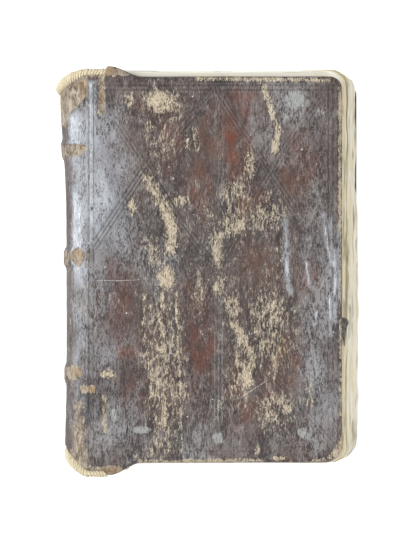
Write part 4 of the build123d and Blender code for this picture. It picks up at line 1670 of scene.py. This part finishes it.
@dataclass
class Endband:
    """One sewn endband: thread wound slantwise round its core, over the spine and along both boards."""

    name: str
    end: int
    book: BookFrame
    rise: float
    bulge: float
    dip: Point
    sink: float = 3.7
    core_radius: float = 1.7
    thread_radius: float = 0.64
    pitch: float = 1.55
    slant: float = 32.0
    board_run: float = 9.3
    ring_steps: int = 18
    ring_sides: int = 7
    widen_at: tuple[float, ...] = (0.0, 4.7, 10.9, 17.0, 22.0)
    widths: tuple[float, ...] = (1.0, 1.38, 1.68, 1.5, 1.4)
    turn_wobble: Point = (-0.12, 0.12)
    turn_sizes: Point = (0.93, 1.05)

    def ring(self) -> bpy.types.Mesh:
        """One turn of thread about the X axis, slanted, as a mesh to copy along the band.

        Returns:
            The turn.
        """
        mesh = bmesh.new()
        section = bmesh.ops.create_circle(mesh, segments=self.ring_sides, radius=self.thread_radius)
        bmesh.ops.translate(mesh, verts=section["verts"], vec=(0.0, self.core_radius, 0.0))
        bmesh.ops.spin(
            mesh,
            geom=[*mesh.verts, *mesh.edges],
            axis=(1.0, 0.0, 0.0),
            cent=(0.0, 0.0, 0.0),
            angle=2.0 * math.pi,
            steps=self.ring_steps,
            use_merge=True,
        )
        bmesh.ops.remove_doubles(mesh, verts=mesh.verts, dist=0.001)
        bmesh.ops.create_cone(
            mesh,
            cap_ends=True,
            segments=10,
            radius1=self.core_radius - 0.3,
            radius2=self.core_radius - 0.3,
            depth=self.pitch * 1.2,
            matrix=Matrix.Rotation(math.pi / 2, 4, "Y"),
        )
        bmesh.ops.recalc_face_normals(mesh, faces=mesh.faces)
        bmesh.ops.rotate(
            mesh,
            verts=mesh.verts,
            cent=(0.0, 0.0, 0.0),
            matrix=Matrix.Rotation(math.radians(self.slant * self.end), 3, "Z"),
        )
        data = bpy.data.meshes.new(f"{self.name}_turn")
        mesh.to_mesh(data)
        mesh.free()
        return data

    def level(self) -> float:
        """How far the band's middle line at the joints lies from the book's middle."""
        return self.end * (self.book.half_height + self.rise)

    def spine_path(self) -> BandPath:
        """Even places along the band over the spine, the way it runs there and its width.

        Returns:
            The places, the runs and the widths.
        """
        front = Vector((self.book.front_joint, self.level(), self.book.top - self.sink))
        back = Vector((self.book.back_joint, self.level(), self.sink))
        chord = front - back
        along = chord.normalized()
        outward = Vector((-chord.z, 0.0, chord.x)).normalized()
        radius = chord.length**2 / (8 * self.bulge) + self.bulge / 2
        half_angle = math.asin(chord.length / 2 / radius)
        middle = (front + back) / 2
        count = max(2, round(2 * half_angle * radius / self.pitch))
        slope, curve = self.dip
        places, runs, widths = [], [], []
        for index in range(count):
            angle = half_angle * (1.0 - 2.0 * (index + 0.5) / count)
            out = max(0.0, self.bulge - radius + radius * math.cos(angle))
            place = middle + outward * out + along * radius * math.sin(angle)
            place.y -= self.end * (slope * out + curve * out**2)
            run = outward * math.sin(angle) - along * math.cos(angle)
            run.y -= self.end * (slope + 2.0 * curve * out) * math.sin(angle)
            places.append(place)
            runs.append(run.normalized())
            widths.append(float(np.interp(out, self.widen_at, self.widths)))
        return places, runs, widths

    def board_path(self, joint: float, level: float, way: float) -> BandPath:
        """Even places along the band beside a board, the way it runs there and its width.

        Args:
            joint: Where the board's joint lies.
            level: The height of the band's middle.
            way: Which way the band runs, 1 or -1 along X.

        Returns:
            The places, the runs and the widths.
        """
        count = round(self.board_run / self.pitch)
        places = [Vector((joint + (index + 0.5) * self.pitch, self.level(), level)) for index in range(count)]
        return places, [Vector((way, 0.0, 0.0))] * count, [1.0] * count

    def wind(self, name: str, path: BandPath, turn: bpy.types.Mesh) -> bmesh.types.BMesh:
        """Copy the turn along a path.

        Args:
            name: The stretch's name, which seeds its unevenness.
            path: Places, the band's run at each and its width there.
            turn: The mesh of one turn.

        Returns:
            All the turns in one mesh.
        """
        draw = random.Random(name)
        mesh = bmesh.new()
        for place, run, width in zip(*path):
            before = len(mesh.verts)
            mesh.from_mesh(turn)
            mesh.verts.ensure_lookup_table()
            fresh = mesh.verts[before:]
            side = Vector((0.0, 1.0, 0.0))
            side = (side - run * side.dot(run)).normalized()
            up = run.cross(side)
            frame = Matrix((run, side * width, up)).transposed().to_4x4()
            wobble = Matrix.Rotation(draw.uniform(*self.turn_wobble), 4, "Z")
            wobble = wobble @ Matrix.Scale(draw.uniform(*self.turn_sizes), 4)
            bmesh.ops.transform(mesh, matrix=Matrix.Translation(place) @ frame @ wobble, verts=fresh)
        return mesh

    def build(self, material: bpy.types.Material) -> list[bpy.types.Object]:
        """Wind the thread over the spine and beside both boards.

        Args:
            material: The thread's finish.

        Returns:
            The three stretches of thread.
        """
        turn = self.ring()
        front = (self.book.front_joint, self.book.top - self.sink)
        stretches = (
            ("spine", "book_block", self.spine_path(), f"{self.name}_endband"),
            ("front", "front_cover", self.board_path(*front, -1.0), "front_endband"),
            ("back", "back_cover", self.board_path(self.book.back_joint, self.sink, 1.0), "back_endband"),
        )
        pieces = []
        for place, body, path, node in stretches:
            plural = "" if place == "spine" else "s"
            label = f"{self.name}_{place}_thread"
            piece = make_piece(label, self.wind(label, path, turn), material)
            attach(piece, body)
            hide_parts(f"{node}_thread{plural}", f"{node}_core{plural}")
            pieces.append(piece)
        bpy.data.meshes.remove(turn)
        return pieces


@dataclass(frozen=True)
class Lamp:
    """A soft lamp that points at the middle of the book, with its place and size in metres."""

    name: str
    place: Point3
    size: Point
    watts: float
    colour: RGB

    def hang(self) -> None:
        """Add the lamp to the scene."""
        light = bpy.data.lights.new(self.name, "AREA")
        light.shape = "RECTANGLE"
        light.size, light.size_y = self.size
        light.energy = self.watts
        light.color = self.colour
        lamp = bpy.data.objects.new(self.name, light)
        lamp.location = self.place
        lamp.rotation_euler = (-Vector(self.place)).to_track_quat("-Z", "Y").to_euler()
        bpy.context.scene.collection.objects.link(lamp)


@dataclass(frozen=True)
class Studio:
    """A white table, soft light from the left and above, and the camera over the book."""

    lamps: tuple[Lamp, ...] = (
        Lamp("left_window", (-1.35, 0.15, 0.85), (1.3, 1.8), 20.0, (0.95, 0.98, 1.0)),
        Lamp("top_soft", (-0.42, 0.15, 1.6), (0.7, 1.3), 9.5, (0.97, 0.99, 1.0)),
        Lamp("right_fill", (1.2, -0.4, 1.1), (1.0, 1.0), 11.0, (1.0, 0.98, 0.95)),
    )
    room_light: float = 0.36
    camera_height: float = 1254.7
    camera_x: float = -3.5
    camera_y: float = -1.42
    lens: float = 152.76
    sensor: float = 36.0
    table_half: float = 3.0
    table_white: float = 0.72
    table_glow: float = 0.62
    table_gap: float = 0.0002

    def floor(self) -> None:
        """Lay the table, which looks white to the camera and keeps the book's shadow."""
        mesh = bmesh.new()
        bmesh.ops.create_grid(mesh, x_segments=1, y_segments=1, size=self.table_half)
        bmesh.ops.translate(mesh, verts=mesh.verts, vec=(0.0, 0.0, -self.table_gap))
        data = bpy.data.meshes.new("table")
        mesh.to_mesh(data)
        mesh.free()
        table = bpy.data.objects.new("table", data)
        bpy.context.scene.collection.objects.link(table)
        paint = Paint("table_white")
        paint.finish((self.table_white,) * 3, 0.9)
        glow = paint.add("ShaderNodeEmission")
        glow.inputs["Strength"].default_value = self.table_glow
        rays = paint.add("ShaderNodeLightPath")
        seen = paint.math("MAXIMUM", rays.outputs["Is Camera Ray"], rays.outputs["Is Glossy Ray"])
        seen = seen.most(rays.outputs["Is Transmission Ray"])
        dark = paint.add("ShaderNodeEmission")
        dark.inputs["Strength"].default_value = 0.0
        choice = paint.add("ShaderNodeMixShader")
        paint.feed(choice.inputs[0], seen)
        paint.feed(choice.inputs[1], dark.outputs[0])
        paint.feed(choice.inputs[2], glow.outputs[0])
        both = paint.add("ShaderNodeAddShader")
        paint.feed(both.inputs[0], paint.shader.outputs[0])
        paint.feed(both.inputs[1], choice.outputs[0])
        paint.feed(paint.output.inputs["Surface"], both.outputs[0])
        data.materials.append(paint.material)

    def world(self) -> None:
        """Give the room a soft even light, and a white look to the camera."""
        world = bpy.data.worlds.new("room")
        world.use_nodes = True
        tree = world.node_tree
        tree.nodes.clear()
        output = tree.nodes.new("ShaderNodeOutputWorld")
        rays = tree.nodes.new("ShaderNodeLightPath")
        choice = tree.nodes.new("ShaderNodeMixShader")
        tree.links.new(rays.outputs["Is Camera Ray"], choice.inputs[0])
        for socket, strength in ((1, self.room_light), (2, 1.0)):
            shade = tree.nodes.new("ShaderNodeBackground")
            shade.inputs["Color"].default_value = (1.0, 1.0, 1.0, 1.0)
            shade.inputs["Strength"].default_value = strength
            tree.links.new(shade.outputs[0], choice.inputs[socket])
        tree.links.new(choice.outputs[0], output.inputs["Surface"])
        bpy.context.scene.world = world

    def camera(self) -> None:
        """Look straight down on the front cover, with the spine to the left and the head up."""
        data = bpy.data.cameras.new("camera")
        data.lens = self.lens
        data.sensor_width = self.sensor
        data.clip_start, data.clip_end = 0.05, 20.0
        camera = bpy.data.objects.new("camera", data)
        camera.location = Vector((self.camera_x, self.camera_y, self.camera_height)) * METRES_PER_MM
        bpy.context.scene.collection.objects.link(camera)
        bpy.context.scene.camera = camera

    def build(self) -> None:
        """Set up the table, the lamps, the room and the camera."""
        self.floor()
        for lamp in self.lamps:
            lamp.hang()
        self.world()
        self.camera()
        bpy.context.scene.view_settings.view_transform = "Standard"


def dress_nodes(
    nodes: dict[str, bpy.types.Object], names: Iterable[str], material: bpy.types.Material
) -> None:
    """Give pieces of the frame that stay in view their finish.

    Args:
        nodes: The frame's pieces by name.
        names: Which of them to dress.
        material: Their finish.
    """
    for name in names:
        slots = nodes[name].data.materials
        slots.clear()
        slots.append(material)


def main() -> None:
    """Load the frame, build and dress each piece, and set up the studio."""
    logging.basicConfig(level=logging.INFO, format="%(name)s: %(message)s")
    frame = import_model()
    book = BookFrame.read(frame)
    leather = LeatherFinish().material()
    leaves = PaperFinish("leaf_paper").material()
    thread = THREAD.material()
    covers = (
        CoverLeather(
            name="front_cover_skin",
            body="front_cover",
            node="front_cover_leather",
            book=book,
            joint=book.front_joint,
            level=book.top,
            outward=1,
            columns=160,
            rows=235,
            tooled=True,
            seed=1.7,
        ),
        CoverLeather(
            name="back_cover_skin",
            body="back_cover",
            node="back_cover_leather",
            book=book,
            joint=book.back_joint,
            level=0.0,
            outward=-1,
            columns=80,
            rows=120,
            tooled=False,
            seed=31.3,
            cap_share=0.6,
        ),
    )
    pieces = [cover.build(leather) for cover in covers]
    pieces.append(SpineLeather(book).build(leather))
    pieces.append(TextBlock(book).build(leaves, LEAF_FACE.material()))
    pieces.append(ForeEdgeTab().build(TAB.material()))
    bands = (
        Endband("head", end=1, book=book, rise=2.9, bulge=21.0, dip=(0.24, 0.005)),
        Endband("tail", end=-1, book=book, rise=5.2, bulge=16.4, dip=(0.45, 0.010)),
    )
    for band in bands:
        pieces.extend(band.build(thread))
    nodes = frame["nodes"]
    dress_nodes(nodes, ("front_board", "back_board"), WoodFinish().material())
    dress_nodes(nodes, ("front_pastedown", "back_pastedown"), PASTEDOWN.material())
    dress_nodes(nodes, ("spine_lining",), CLOTH.material())
    dress_nodes(nodes, [name for name in nodes if "_core" in name], CORD.material())
    dress_nodes(nodes, [name for name in nodes if "_support" in name], TAWED.material())
    for piece in pieces:
        LOG.info("%s: %d faces", piece.name, len(piece.data.polygons))
    Studio().build()


if __name__ == "__main__":
    main()
